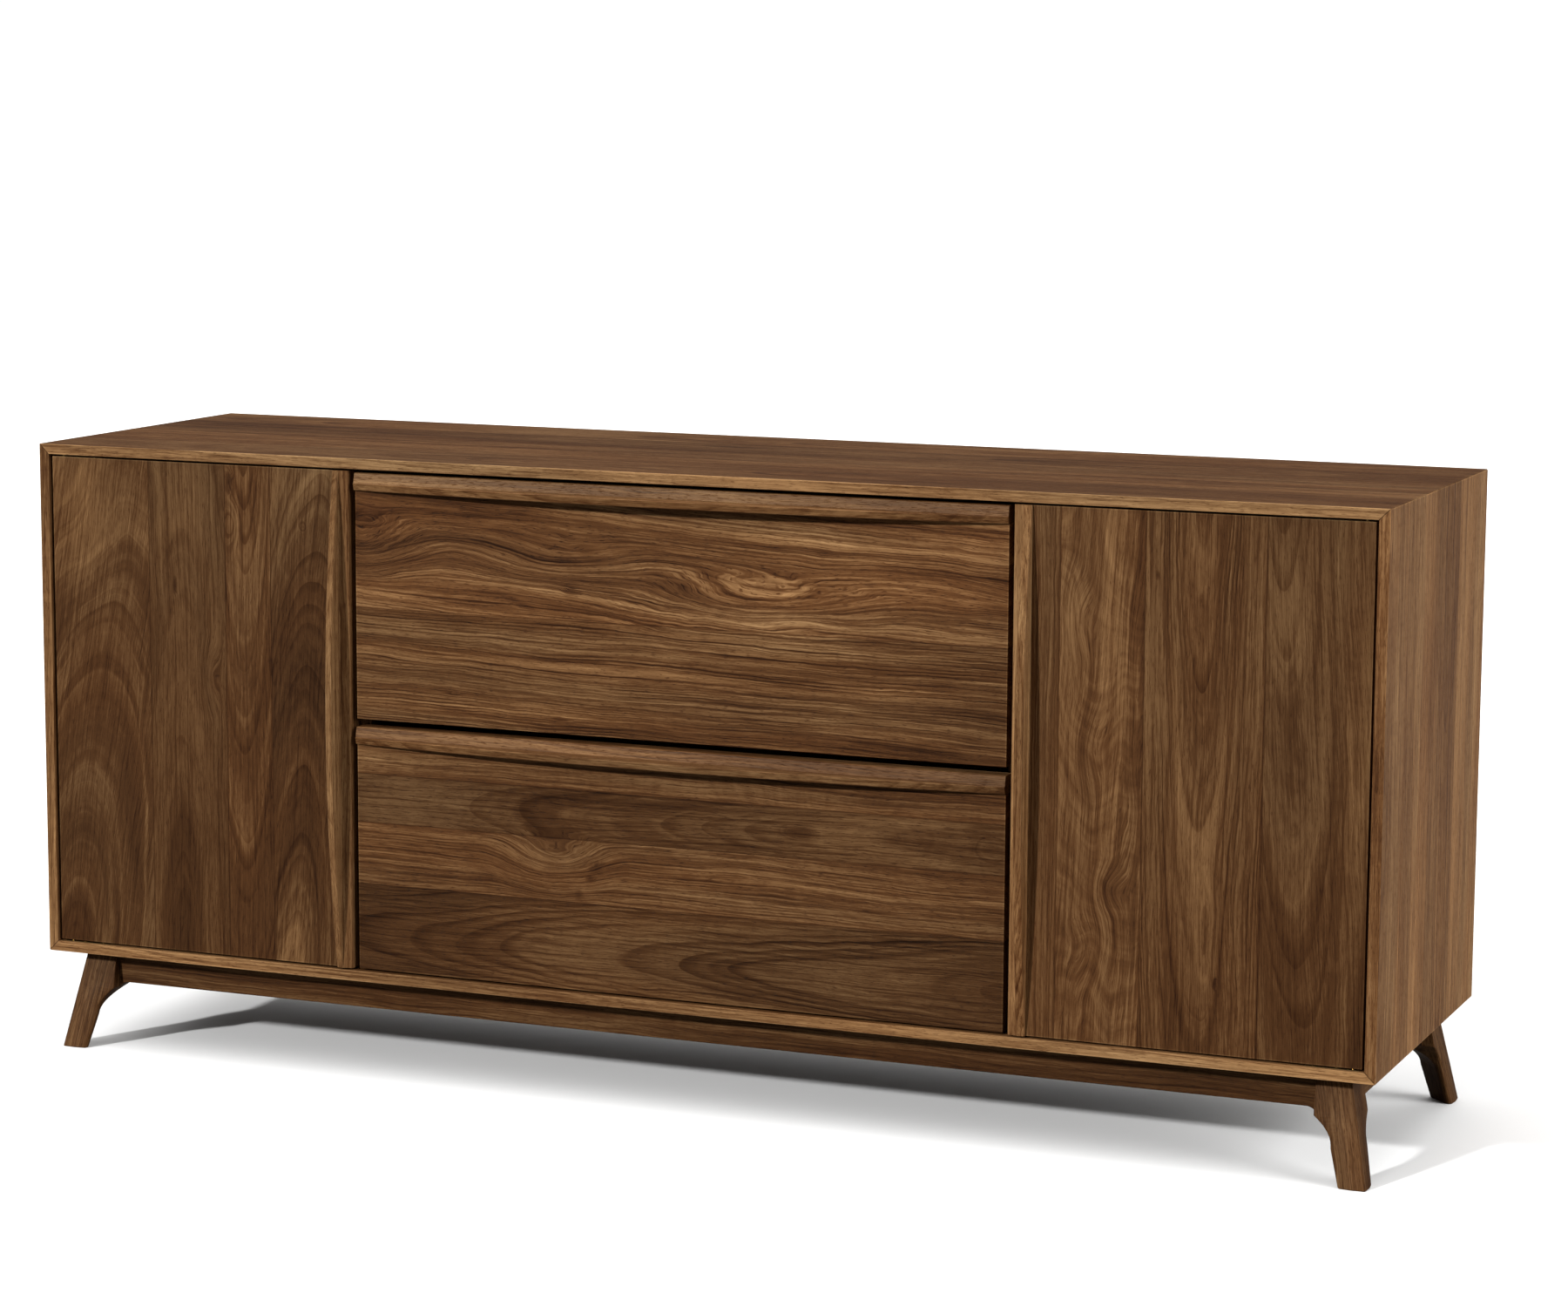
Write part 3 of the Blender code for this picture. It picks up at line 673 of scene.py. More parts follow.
# ---- maple, metals, plastic --------------------------------------------------------
MAPLE_STOPS = ((0.0, (0.36, 0.225, 0.115)), (0.5, (0.56, 0.40, 0.235)), (1.0, (0.70, 0.56, 0.38)))
MAPLE_RUBBED = (0.42, 0.28, 0.15)
MAPLE_RINGS = 0.0042
MAPLE_DRIFT = Layer(2.5, 10.0)
MAPLE_BANDS = Layer(0.3, 1.0, shift=3.0, detail=4.0, rough=0.6)
MAPLE_FIBRES = Layer(20.0, 700.0, detail=3.0, rough=0.6)
MAPLE_FLECKS = Layer(90.0, 260.0, detail=1.0)
MAPLE_CURL = Layer(55.0, 9.0, detail=1.0)
BRUSH_LINES = 900.0
FINE_BRUSH_LINES = 1500.0


def maple(name, node, grain, across, seed):
    graph = Graph(name)
    xyz = dict(zip("xyz", graph.axes()))
    depth = next(a for a in "xyz" if a not in (grain, across))
    g, a, d = xyz[grain], xyz[across], xyz[depth]
    drift = graph.pattern(MAPLE_DRIFT, g, a, seed) - 0.5
    bent = a + drift * 0.02
    rise = d + 0.05 + g * 0.03 + drift * 0.01
    ring = graph.math("SQRT", bent * bent + rise * rise) / MAPLE_RINGS
    bands = graph.pattern(MAPLE_BANDS, ring, g, seed)
    fibre = graph.pattern(MAPLE_FIBRES, g, bent, d * MAPLE_FIBRES.second)
    fleck = graph.pattern(MAPLE_FLECKS, g, a, seed)
    curl = graph.pattern(MAPLE_CURL, g, a, seed)
    value = graph.clamp(
        0.5 + (bands - 0.5) * 0.8 + (fibre - 0.5) * 0.3 + (curl - 0.5) * 0.25
        - graph.smooth(fleck, 0.62, 0.8) * 0.15
    )
    arris_band = edge_mask(graph, xyz, *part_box(node), 0.0016)
    colour = graph.mix(arris_band * 0.25, graph.ramp(value, MAPLE_STOPS), rgb(*MAPLE_RUBBED))
    graph.feed(graph.shader.inputs["Base Color"], colour)
    graph.feed(graph.shader.inputs["Roughness"], graph.clamp(0.38 + (fibre - 0.5) * 0.2))
    graph.bump(fibre * 0.6 + bands * 0.2, 0.35, 0.00015)
    return graph.material


def metal(name, colour, dark, roughness, brushed_along, scale=BRUSH_LINES):
    """Brushed metal; scale is the brush lines per metre."""
    graph = Graph(name)
    xyz = dict(zip("xyz", graph.axes()))
    other = [a for a in "xyz" if a != brushed_along]
    lines = graph.noise(
        graph.vector(xyz[brushed_along] * 12.0, xyz[other[0]] * scale, xyz[other[1]] * scale),
        1.0, 3.0, 0.6,
    )
    blot = graph.noise(graph.place, 28.0, 3.0, 0.6)
    speck = graph.noise(graph.place, 420.0, 2.0, 0.6)
    share = graph.clamp(graph.smooth(blot, 0.35, 0.75) * 0.55 + (lines - 0.5) * 0.5)
    graph.feed(graph.shader.inputs["Base Color"], graph.mix(share, rgb(*colour), rgb(*dark)))
    graph.shader.inputs["Metallic"].default_value = 1.0
    graph.feed(
        graph.shader.inputs["Roughness"],
        graph.clamp(roughness + (lines - 0.5) * 0.2 + (blot - 0.5) * 0.25),
    )
    graph.bump(lines * 0.6 + speck * 0.3, 0.3, 0.00008)
    return graph.material


def plastic(name, colour, worn):
    graph = Graph(name)
    pebble = graph.noise(graph.place, 1600.0, 2.0, 0.6)
    blot = graph.noise(graph.place, 60.0, 3.0, 0.6)
    share = graph.clamp(graph.smooth(blot, 0.45, 0.8) * 0.6 + (pebble - 0.5) * 0.4)
    graph.feed(graph.shader.inputs["Base Color"], graph.mix(share, rgb(*colour), rgb(*worn)))
    graph.feed(graph.shader.inputs["Roughness"], graph.clamp(0.5 + (pebble - 0.5) * 0.3))
    graph.bump(pebble, 0.3, 0.0001)
    return graph.material


WELD_REACH = 0.00002
FLAT_ANGLE = math.radians(0.4)
EASE_ANGLE = math.radians(40)
EASE_SEGMENTS = 2


def put_on(node, material):
    slots = NODES[node].material_slots
    for held in slots:
        held.material = material
    if not slots:
        NODES[node].data.materials.append(material)


def soften(node, width):
    """Eased edges on a CAD node, by modifiers only."""
    obj = NODES[node]
    weld = obj.modifiers.new("weld", "WELD")
    weld.merge_threshold = WELD_REACH
    flat = obj.modifiers.new("flat", "DECIMATE")
    flat.decimate_type = "DISSOLVE"
    flat.angle_limit = FLAT_ANGLE
    bevel = obj.modifiers.new("ease", "BEVEL")
    bevel.width = width
    bevel.segments = EASE_SEGMENTS
    bevel.limit_method = "ANGLE"
    bevel.angle_limit = EASE_ANGLE
    even = obj.modifiers.new("even", "WEIGHTED_NORMAL")
    even.weight = 80
    even.keep_sharp = False


# ---- the pieces --------------------------------------------------------------------
BASE_TONE = 0.80         # the legs, aprons and rails are darker
LEG_LEAN = 0.2


def from_left(distance):
    return LEFT_X + distance


def make_left_door():
    z = UNDER_Z
    boards = [
        Board(from_left(0.150), pith=from_left(0.010), lean=0.15, deep=-0.016, climb=0.25,
              rings=0.0058, band=0.75, line=0.05, streak=0.38, curl=0.14, flare=0.09),
        Board(from_left(0.255), pith=from_left(0.190), deep=0.004, climb=0.10, rings=0.0050,
              tone=0.84, band=0.6, line=0.05, streak=0.26, curl=0.06, flare=0.05),
        Board(from_left(0.317), pith=from_left(0.280), deep=0.080, climb=-0.08, rings=0.0036,
              tone=1.06, band=0.7, line=0.14, streak=0.30, curl=0.12, flare=0.06),
        Board(LAST, pith=from_left(0.327), lean=0.08, deep=-0.003, climb=0.14, rings=0.0042,
              tone=0.98, band=0.8, line=0.12, streak=0.32, curl=0.18, flare=0.08),
    ]
    arches = [
        Arch(0, z + 0.355, 0.007, 0.17),
        Arch(0, z + 0.235, 0.006, 0.20),
        Arch(0, z + 0.205, 0.016, -0.12),
        Arch(0, z + 0.140, 0.006, 0.16),
        Arch(0, z + 0.090, 0.006, 0.18),
        Arch(1, z + 0.365, 0.007, 0.14),
        Arch(1, z + 0.190, 0.020, -0.12),
        Arch(2, z + 0.155, 0.007, 0.18),
        Arch(2, z + 0.300, 0.004, 0.12),
        Arch(2, z + 0.400, 0.004, 0.12),
        Arch(3, z + 0.045, 0.006, 0.18),
        Arch(3, z + 0.105, 0.007, 0.18),
        Arch(3, z + 0.180, 0.012, -0.10),
        Arch(3, z + 0.270, 0.006, 0.16),
        Arch(3, z + 0.320, 0.005, 0.12),
    ]
    spots = [
        Spot((z + 0.465, from_left(0.185)), (0.016, 0.005), rise=0.010, push=0.004, shade=-0.30),
        Spot((z + 0.595, from_left(0.262)), (0.022, 0.009), rise=0.014, push=0.006, shade=-0.26),
        Spot((z + 0.545, from_left(0.264)), (0.040, 0.016), rise=0.012, shade=0.10),
        Spot((z + 0.355, from_left(0.232)), (0.060, 0.020), push=0.012),
        Spot((z + 0.545, from_left(0.362)), (0.010, 0.008), rise=0.006, shade=-0.16),
        Spot((z + 0.300, from_left(0.370)), (0.110, 0.040), shade=-0.08),
        # Broad areas: darker over the lower door, lighter at the top.
        Spot((z + 0.120, from_left(0.200)), (0.480, 0.500), shade=-0.07),
        Spot((z + 0.600, from_left(0.200)), (0.240, 0.400), shade=0.06),
        Spot((z + 0.520, from_left(0.060)), (0.130, 0.070), rise=0.012, shade=0.06),
    ]
    material = walnut("walnut_left_door", "left_door_panel", "z", "x", boards, 1.0, spots,
                      arches=arches, dark=0.78, contrast=1.15, fine=0.8)
    put_on("left_door_panel", material)


def make_right_door():
    z = UNDER_Z
    boards = [
        Board(from_left(1.310), pith=from_left(1.20), deep=0.02, climb=0.02, rings=0.0045, tone=1.08,
              band=0.6, streak=0.26),
        Board(from_left(1.408), pith=from_left(1.290), lean=0.06, deep=0.030, climb=0.03,
              rings=0.0050, tone=1.22, band=0.9, line=0.08, streak=0.30, curl=0.36, flare=0.07),
        Board(from_left(1.545), pith=from_left(1.475), deep=0.067, climb=-0.06, rings=0.0032,
              tone=1.0, band=0.8, line=0.20, streak=0.34),
        Board(LAST, pith=from_left(1.600), lean=-0.05, deep=0.10, climb=-0.05, rings=0.0042,
              tone=0.90, band=0.8, line=0.10, streak=0.32, flare=0.06),
    ]
    arches = [
        Arch(2, z + 0.600, 0.0024, -0.16),
        Arch(2, z + 0.572, 0.0024, -0.18),
        Arch(2, z + 0.480, 0.0040, 0.12),
        Arch(2, z + 0.330, 0.0030, -0.12),
        Arch(3, z + 0.200, 0.0060, 0.12),
    ]
    spots = [
        Spot((z + 0.430, from_left(1.398)), (0.150, 0.014), push=0.006, shade=0.17),
        Spot((z + 0.270, from_left(1.396)), (0.080, 0.014), push=-0.006, shade=0.14),
        Spot((z + 0.500, from_left(1.330)), (0.070, 0.030), push=0.012, shade=0.12, turn=-0.2),
        Spot((z + 0.190, from_left(1.372)), (0.040, 0.030), push=0.014, shade=-0.10),
        Spot((z + 0.120, from_left(1.350)), (0.060, 0.034), push=-0.014),
        Spot((z + 0.350, from_left(1.345)), (0.070, 0.030), push=0.012),
        Spot((z + 0.140, from_left(1.484)), (0.100, 0.018), rise=-0.010, shade=-0.12),
        Spot((z + 0.095, from_left(1.496)), (0.010, 0.004), rise=0.006, shade=-0.24),
        Spot((z + 0.520, from_left(1.472)), (0.010, 0.004), rise=0.006, shade=-0.18),
        Spot((z + 0.545, from_left(1.422)), (0.008, 0.004), rise=0.006, shade=-0.18),
        Spot((z + 0.320, from_left(1.630)), (0.420, 0.014), shade=-0.12, turn=0.012),
        Spot((z + 0.300, from_left(1.657)), (0.420, 0.012), shade=0.10),
    ]
    material = walnut("walnut_right_door", "right_door_panel", "z", "x", boards, 2.0, spots,
                      arches=arches, dark=0.77, contrast=1.35, fine=0.75)
    put_on("right_door_panel", material)


def make_upper_drawer():
    z = UNDER_Z
    boards = [
        Board(z + 0.453, pith=z + 0.250, lean=-0.02, deep=0.030, climb=0.02, rings=0.0036,
              tone=0.88, band=0.8, line=0.26, streak=0.50),
        Board(LAST, pith=z + 0.760, lean=-0.05, deep=0.020, climb=0.02, rings=0.0040, tone=1.16,
              band=0.9, line=0.20, streak=0.42),
    ]
    spots = [
        Spot((from_left(0.930), z + 0.486), (0.230, 0.050), push=0.032, rise=0.014, shade=0.12),
        Spot((from_left(1.000), z + 0.468), (0.085, 0.018), push=-0.012, shade=0.06),
        Spot((from_left(0.700), z + 0.520), (0.150, 0.046), push=0.020),
        Spot((from_left(0.712), z + 0.487), (0.018, 0.007), push=0.004, rise=0.006, shade=-0.26),
        Spot((from_left(0.435), z + 0.525), (0.125, 0.060), push=0.040, rise=0.014, shade=-0.06),
        Spot((from_left(0.645), z + 0.470), (0.040, 0.006), shade=-0.18, turn=-0.30),
        Spot((from_left(1.160), z + 0.530), (0.150, 0.040), push=-0.010),
        Spot((from_left(0.640), z + 0.407), (0.230, 0.003), shade=-0.18, turn=-0.02),
        Spot((from_left(0.560), z + 0.357), (0.020, 0.004), rise=0.003, shade=-0.16),
        Spot((from_left(0.700), z + 0.335), (0.024, 0.004), rise=0.003, shade=-0.14),
        Spot((from_left(1.120), z + 0.392), (0.150, 0.010), shade=0.08, turn=-0.03),
        Spot((from_left(1.160), z + 0.330), (0.090, 0.012), shade=-0.12),
        # Broad areas: lighter towards the right, darker towards the left.
        Spot((from_left(1.080), z + 0.460), (0.340, 0.150), shade=0.07),
        Spot((from_left(0.500), z + 0.420), (0.300, 0.150), shade=-0.05),
    ]
    material = walnut("walnut_upper_front", "upper_drawer_front", "x", "z", boards, 3.0, spots,
                      contrast=1.3, dark=1.14, fine=1.25)
    put_on("upper_drawer_front", material)


def make_lower_drawer():
    z = UNDER_Z
    boards = [
        Board(z + 0.120, pith=z + 0.062, deep=0.080, climb=-0.040, rings=0.0030, tone=0.84,
              band=0.6, line=0.20, streak=0.34),
        Board(z + 0.195, pith=z + 0.020, deep=0.050, climb=0.02, rings=0.0034, tone=1.20,
              band=0.7, line=0.16, streak=0.44, curl=0.14),
        Board(z + 0.2535, pith=z + 0.222, deep=0.060, climb=-0.07, rings=0.0044, tone=0.78,
              band=0.8, line=0.10, streak=0.30, curl=0.14),
        Board(LAST, pith=z + 0.350, deep=0.030, climb=-0.02, rings=0.0040, tone=1.24,
              band=0.6, streak=0.42, curl=0.18),
    ]
    arches = [
        Arch(0, from_left(0.760), 0.0020, -0.14),
        Arch(0, from_left(0.880), 0.0020, -0.14),
        Arch(0, from_left(1.000), 0.0020, -0.14),
        Arch(2, from_left(0.700), 0.0050, 0.16),
    ]
    spots = [
        Spot((from_left(0.745), z + 0.165), (0.016, 0.009), rise=0.010, shade=-0.28, turn=0.6),
        Spot((from_left(0.737), z + 0.150), (0.010, 0.006), rise=0.006, shade=-0.24),
        Spot((from_left(0.722), z + 0.130), (0.008, 0.010), shade=-0.14),
        Spot((from_left(0.690), z + 0.165), (0.100, 0.050), push=0.030),
        Spot((from_left(1.000), z + 0.225), (0.036, 0.014), rise=0.014, shade=-0.12),
        Spot((from_left(0.925), z + 0.205), (0.030, 0.005), shade=-0.16, turn=-0.15),
        Spot((from_left(1.235), z + 0.225), (0.034, 0.022), rise=0.016, shade=-0.12),
        Spot((from_left(1.095), z + 0.140), (0.040, 0.0026), shade=-0.16),
        Spot((from_left(1.210), z + 0.167), (0.060, 0.0026), shade=-0.16),
        Spot((from_left(0.600), z + 0.220), (0.130, 0.010), shade=0.10, turn=-0.10),
        Spot((from_left(0.520), z + 0.070), (0.200, 0.050), shade=-0.08),
        # Broad area: darker towards the left.
        Spot((from_left(0.540), z + 0.160), (0.340, 0.200), shade=-0.07),
    ]
    material = walnut("walnut_lower_front", "lower_drawer_front", "x", "z", boards, 4.0, spots,
                      contrast=1.2, arches=arches, dark=0.84, fine=1.15)
    put_on("lower_drawer_front", material)


def make_pulls():
    for i, (node, grain, across) in enumerate((
        ("left_door_pull", "z", "x"), ("right_door_pull", "z", "x"),
        ("upper_drawer_pull", "x", "z"), ("lower_drawer_pull", "x", "z"),
    )):
        start = getattr(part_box(node)[0], across)
        # The pulls are painted lighter (tone 1.08, lift 0.07): a painted highlight where light catches
        # their faces.
        one = [Board(LAST, pith=start - 0.03, deep=0.25, climb=0.01, rings=0.0034, tone=1.08)]
        cover_in_walnut(node, grain, across, one, 10.0 + i, wear=0.0, lift=0.07)


def make_fronts():
    make_left_door()
    make_right_door()
    make_upper_drawer()
    make_lower_drawer()
    make_pulls()


def depth_boards(seed):
    """Four boards across the depth of the case."""
    return plain_boards(FRONT_Y, BACK_Y, 4, seed)


def make_shell_looks():
    # The top, bottom and left side get a painted highlight on their front edge faces.
    material = walnut("walnut_top", "top_panel", "x", "y", depth_boards(11), 20.0, face="high",
                      contrast=0.6, painted_edge_light=0.26)
    put_on("top_panel", material)
    material = walnut("walnut_bottom", "bottom_panel", "x", "y", depth_boards(12), 21.0, painted_edge_light=0.14)
    put_on("bottom_panel", material)
    material = walnut("walnut_left_side", "left_side_panel", "z", "y", depth_boards(13), 22.0,
                      lift=0.04, painted_edge_light=0.16)
    put_on("left_side_panel", material)
    # Painted light: the right side panel is painted lighter (lift, dark) and lower in contrast. This
    # stands in for the stronger light and pale sheen on this side. Its front edge face gets painted
    # shade.
    material = walnut("walnut_right_side", "right_side_panel", "z", "y", depth_boards(14), 23.0,
                      lift=0.10, contrast=0.35, face="high", painted_edge_light=-0.12, dark=1.38)
    put_on("right_side_panel", material)
    # The back panel is painted lighter (dark above 1): painted light making up for the dim light
    # behind the piece.
    material = walnut("walnut_back", "back_panel", "x", "z", plain_boards(UNDER_Z, TOP_Z, 3, 19),
                      28.0, contrast=0.8, face="high", dark=1.15)
    put_on("back_panel", material)


def make_inner_looks():
    inner = (("left_partition", "z"), ("right_partition", "z"), ("left_shelf", "x"),
             ("right_shelf", "x"))
    for i, (node, grain) in enumerate(inner):
        cover_in_walnut(node, grain, "y", depth_boards(15 + i), 24.0 + i)


def make_base_looks():
    bars = (("front_apron", "x"), ("back_apron", "x"), ("left_rail", "y"), ("right_rail", "y"))
    for i, (node, grain) in enumerate(bars):
        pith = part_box(node)[0].z - 0.02
        one = [Board(LAST, pith=pith, deep=0.05, climb=0.02, rings=0.0035, tone=BASE_TONE)]
        cover_in_walnut(node, grain, "z", one, 30.0 + i)
    legs = (("front", "left"), ("front", "right"), ("back", "left"), ("back", "right"))
    for i, (end, side) in enumerate(legs):
        node = f"leg_{end}_{side}"
        low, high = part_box(node)
        pith = (low.x + high.x) / 2 - 0.05
        shear = (LEG_LEAN if side == "right" else -LEG_LEAN, LEG_LEAN if end == "back" else -LEG_LEAN)
        one = [Board(LAST, pith=pith, deep=0.05, climb=0.0, rings=0.0032, tone=BASE_TONE)]
        cover_in_walnut(node, "z", "x", one, 34.0 + i, shear=shear, wear=0.0)


def make_hardware_looks():
    steel = metal("zinc_steel", (0.78, 0.78, 0.79), (0.58, 0.59, 0.60), 0.46, "y")
    strike = metal("strike_steel", (0.74, 0.74, 0.75), (0.56, 0.56, 0.57), 0.46, "x")
    brass = metal("hinge_brass", (0.62, 0.44, 0.19), (0.42, 0.28, 0.11), 0.32, "x")
    black = plastic("catch_plastic", (0.028, 0.028, 0.030), (0.055, 0.054, 0.053))
    for name in NODES:
        if "slide" in name:
            put_on(name, steel)
        elif name.endswith("strike"):
            put_on(name, strike)
        elif "hinge" in name:
            put_on(name, brass)
        elif name.endswith("catch"):
            put_on(name, black)


def make_drawer_box_looks():
    parts = (("left_side", "y", "z"), ("right_side", "y", "z"), ("back", "x", "z"),
             ("bottom", "x", "y"))
    for i, word in enumerate(("upper", "lower")):
        for j, (part, grain, across) in enumerate(parts):
            node = f"{word}_drawer_{part}"
            put_on(node, maple("maple_" + node, node, grain, across, 40.0 + 5 * i + j))


def soften_all():
    panels = ("top_panel", "bottom_panel", "left_side_panel", "right_side_panel")
    fronts = ("left_door_panel", "right_door_panel", "upper_drawer_front", "lower_drawer_front")
    inner = ("left_partition", "right_partition", "left_shelf", "right_shelf", "back_panel")
    base = ("front_apron", "back_apron", "left_rail", "right_rail")
    for node in panels + fronts:
        soften(node, 0.0007)
    for node in inner + base:
        soften(node, 0.0008)


# ---- screws and pins -----------------------------------------------------------------
ROUND_STEPS = 24
CROSS_REACH = 0.52       # of the head's radius
CROSS_HALF_WIDTH = 0.14
CROSS_DEPTH = 0.75       # of the head's height

# each screw's head radius, head height and how far its cone goes into the part, in metres
BACK_SCREW = (0.0036, 0.00010, 0.003)
HINGE_SCREW = (0.0030, 0.00012, 0.0012)
SLIDE_SCREW = (0.0034, 0.0011, 0.0006)

BACK_INSET = 0.009
BACK_COLUMNS = 7
BACK_ROWS = 4
LEAF_THICKNESS = 0.0018
HINGE_SHARES = (0.42, 0.84)          # of the leaf's length
SLIDE_SHEET = 0.0012
SLIDE_SHARES = (0.09, 0.45, 0.88)    # of the member's length

PIN_RADIUS = 0.0025
PIN_COLLAR = 0.0038
PIN_LENGTH = 0.0091
PIN_INSET = 0.037
PIN_GAP = 0.0001                     # from the pin up to the shelf


def facing_frame(place, facing):
    """A frame at place whose Z axis points along facing."""
    turn = Vector(facing).to_track_quat("Z", "Y").to_matrix().to_4x4()
    return Matrix.Translation(place) @ turn


def lathe(mesh, place, profile):
    """Rings of points round the Z axis of a frame, joined by smooth faces."""
    rings = []
    for radius, height in profile:
        ring = []
        for i in range(ROUND_STEPS):
            turn = 2 * math.pi * i / ROUND_STEPS
            point = Vector((radius * math.cos(turn), radius * math.sin(turn), height))
            ring.append(mesh.verts.new(place @ point))
        rings.append(ring)
    for lower, upper in zip(rings, rings[1:]):
        for i in range(ROUND_STEPS):
            j = (i + 1) % ROUND_STEPS
            face = mesh.faces.new((lower[i], lower[j], upper[j], upper[i]))
            face.smooth = True
    return rings


def cross_outline(radius):
    long = radius * CROSS_REACH
    short = radius * CROSS_HALF_WIDTH
    corner = [(long, -short), (long, short), (short, short)]
    points = []
    for quarter in range(4):
        turn = Matrix.Rotation(quarter * math.pi / 2, 3, "Z")
        points += [turn @ Vector((x, y, 0.0)) for x, y in corner]
    return points


def shape_screw(mesh, place, radius, height, stem):
    """A screw head with a cross recess whose faces take the second material, painted shade in the
    shallow recess.
    """
    profile = [
        (radius * 0.45, -stem), (radius * 0.96, -stem * 0.05), (radius, height * 0.15),
        (radius * 0.95, height * 0.62), (radius * 0.80, height * 0.92), (radius * 0.66, height),
    ]
    rings = lathe(mesh, place, profile)
    mesh.faces.new(list(reversed(rings[0])))
    rim = [place.inverted() @ point.co for point in rings[-1]]
    cross = [point + Vector((0.0, 0.0, height)) for point in cross_outline(radius)]
    sink = Vector((0.0, 0.0, height * CROSS_DEPTH))
    mouth = [mesh.verts.new(place @ point) for point in cross]
    floor = [mesh.verts.new(place @ (point - sink)) for point in cross]
    corners = rings[-1] + mouth
    for triple in tessellate_polygon([rim, cross]):
        mesh.faces.new([corners[i] for i in triple])
    recess = [mesh.faces.new(floor)]
    for i in range(len(cross)):
        j = (i + 1) % len(cross)
        recess.append(mesh.faces.new((mouth[i], mouth[j], floor[j], floor[i])))
    # The recess faces take the dark second material: painted shade.
    for face in recess:
        face.material_index = 1


def add_piece(name, mesh, body, materials):
    bmesh.ops.recalc_face_normals(mesh, faces=mesh.faces)
    data = bpy.data.meshes.new(name)
    mesh.to_mesh(data)
    mesh.free()
    for material in materials:
        data.materials.append(material)
    piece = bpy.data.objects.new(name, data)
    bpy.context.scene.collection.objects.link(piece)
    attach(piece, body)


def add_screws(name, body, materials, places, facing, size):
    mesh = bmesh.new()
    for place in places:
        shape_screw(mesh, facing_frame(place, facing), *size)
    add_piece(name, mesh, body, materials)


def back_screws(materials):
    """Flush countersunk screws round the back panel."""
    low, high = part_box("back_panel")
    inset = BACK_INSET
    places = []
    for i in range(BACK_COLUMNS):
        x = low.x + inset + (high.x - low.x - 2 * inset) * i / (BACK_COLUMNS - 1)
        places.append((x, high.y, low.z + inset))
        places.append((x, high.y, high.z - inset))
    for i in range(1, BACK_ROWS - 1):
        z = low.z + inset + (high.z - low.z - 2 * inset) * i / (BACK_ROWS - 1)
        places.append((low.x + inset, high.y, z))
        places.append((high.x - inset, high.y, z))
    add_screws("back_panel_screws", "case", materials, places, (0, 1, 0), BACK_SCREW)


def leaf_screws(side, end, part, materials):
    """Two countersunk screws in the bare face of one hinge leaf."""
    low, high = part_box(f"{side}_{end}_hinge_{part}_leaf")
    if part == "door":
        body = side + "_door"
        upward = end == "top"
        panel_low, panel_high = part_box(side + "_door_panel")
        z = panel_high.z if upward else panel_low.z
    else:
        body = "case"
        upward = end == "bottom"
        z = low.z + LEAF_THICKNESS if upward else high.z - LEAF_THICKNESS
    inward = 1 if side == "left" else -1
    start = low.x if side == "left" else high.x
    middle = (low.y + high.y) / 2
    places = [(start + inward * share * (high.x - low.x), middle, z) for share in HINGE_SHARES]
    facing = (0, 0, 1 if upward else -1)
    add_screws(f"{side}_{end}_hinge_{part}_screws", body, materials, places, facing,
               HINGE_SCREW)


def hinge_screws(materials):
    for side in ("left", "right"):
        for end in ("top", "bottom"):
            for part in ("door", "case"):
                leaf_screws(side, end, part, materials)


def slide_screws(materials):
    """Pan-head screws that hold each inner slide member to its drawer side."""
    for word in ("upper", "lower"):
        for side, out in (("left", -1), ("right", 1)):
            low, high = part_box(f"{word}_{side}_slide_inner")
            x = (high.x if side == "left" else low.x) + out * SLIDE_SHEET
            length = high.y - low.y
            z = (low.z + high.z) / 2
            places = [(x, low.y + share * length, z) for share in SLIDE_SHARES]
            add_screws(f"{word}_{side}_slide_screws", word + "_drawer", materials, places,
                       (out, 0, 0), SLIDE_SCREW)


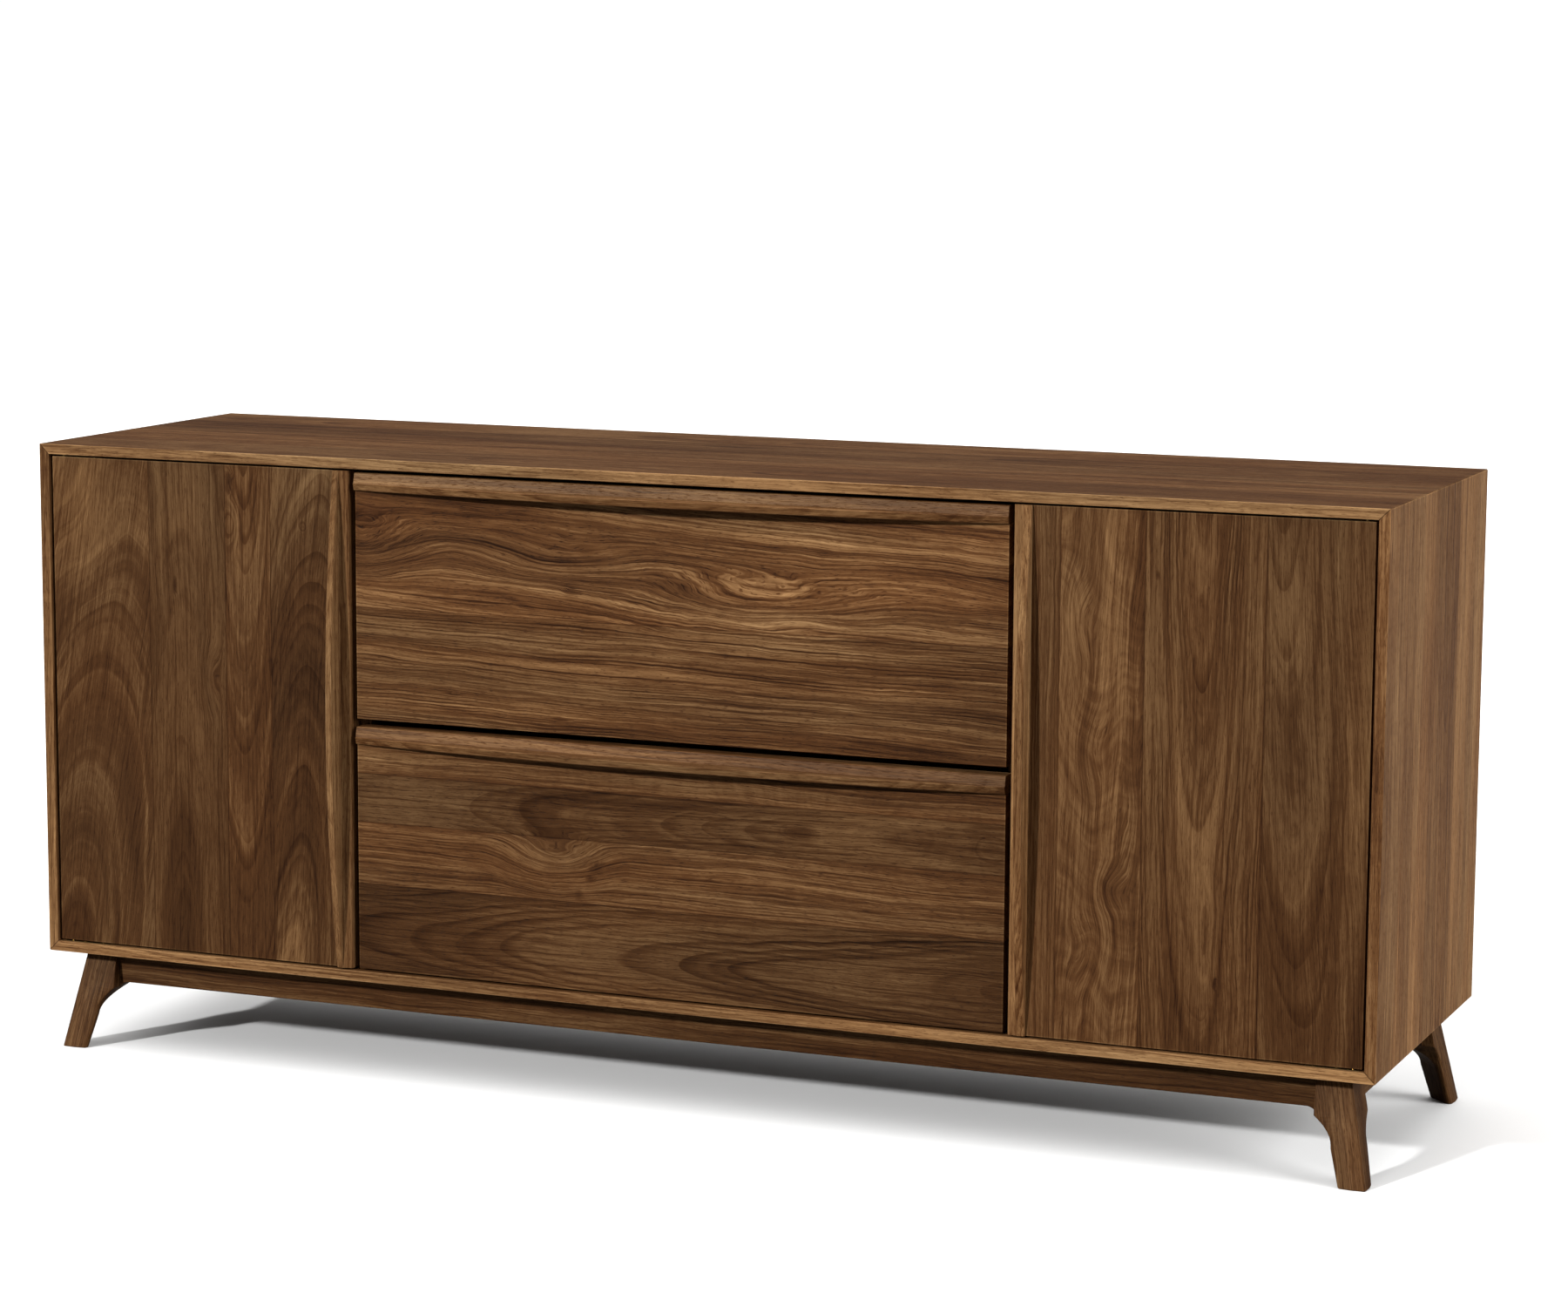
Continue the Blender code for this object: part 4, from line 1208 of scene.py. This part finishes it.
def shape_pin(mesh, place):
    """A shelf pin with a thin collar against the wall and a rounded tip."""
    profile = [
        (PIN_COLLAR, -0.0006), (PIN_COLLAR, 0.0006), (0.0035, 0.0008), (PIN_RADIUS, 0.0008),
        (PIN_RADIUS, 0.0080), (PIN_RADIUS * 0.8, 0.0088), (PIN_RADIUS * 0.3, PIN_LENGTH),
    ]
    rings = lathe(mesh, place, profile)
    mesh.faces.new(list(reversed(rings[0])))
    mesh.faces.new(rings[-1])


def shelf_pins(material):
    """Four pins under each shelf, their collars in the gap between shelf and wall."""
    for side, inward in (("left", 1), ("right", -1)):
        shelf_low, shelf_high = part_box(side + "_shelf")
        outer_low, outer_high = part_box(side + "_side_panel")
        inner_low, inner_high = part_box(side + "_partition")
        outer_x, inner_x = (outer_high.x, inner_low.x) if inward > 0 else (outer_low.x, inner_high.x)
        z = shelf_low.z - PIN_RADIUS - PIN_GAP
        mesh = bmesh.new()
        for x, facing in ((outer_x, inward), (inner_x, -inward)):
            for y in (shelf_low.y + PIN_INSET, shelf_high.y - PIN_INSET):
                shape_pin(mesh, facing_frame((x, y, z), (facing, 0, 0)))
        add_piece(side + "_shelf_pins", mesh, "case", [material])


def make_small_parts():
    zinc = metal("zinc_screw", (0.55, 0.56, 0.58), (0.34, 0.34, 0.35), 0.32, "x", FINE_BRUSH_LINES)
    brass = metal("brass_screw", (0.60, 0.43, 0.19), (0.36, 0.24, 0.10), 0.30, "x", FINE_BRUSH_LINES)
    nickel = metal("pin_nickel", (0.60, 0.59, 0.57), (0.42, 0.41, 0.39), 0.24, "x", FINE_BRUSH_LINES)
    # Painted shade: a dark material for the shallow cross recesses, standing in for the shade inside
    # them.
    recess = metal("screw_recess_painted_shade", (0.10, 0.10, 0.10), (0.04, 0.04, 0.04), 0.55, "x", FINE_BRUSH_LINES)
    back_screws([zinc, recess])
    hinge_screws([brass, recess])
    slide_screws([zinc, recess])
    shelf_pins(nickel)


make_camera()
make_stage()
make_fronts()
make_shell_looks()
make_inner_looks()
make_base_looks()
make_hardware_looks()
make_drawer_box_looks()
make_small_parts()
soften_all()
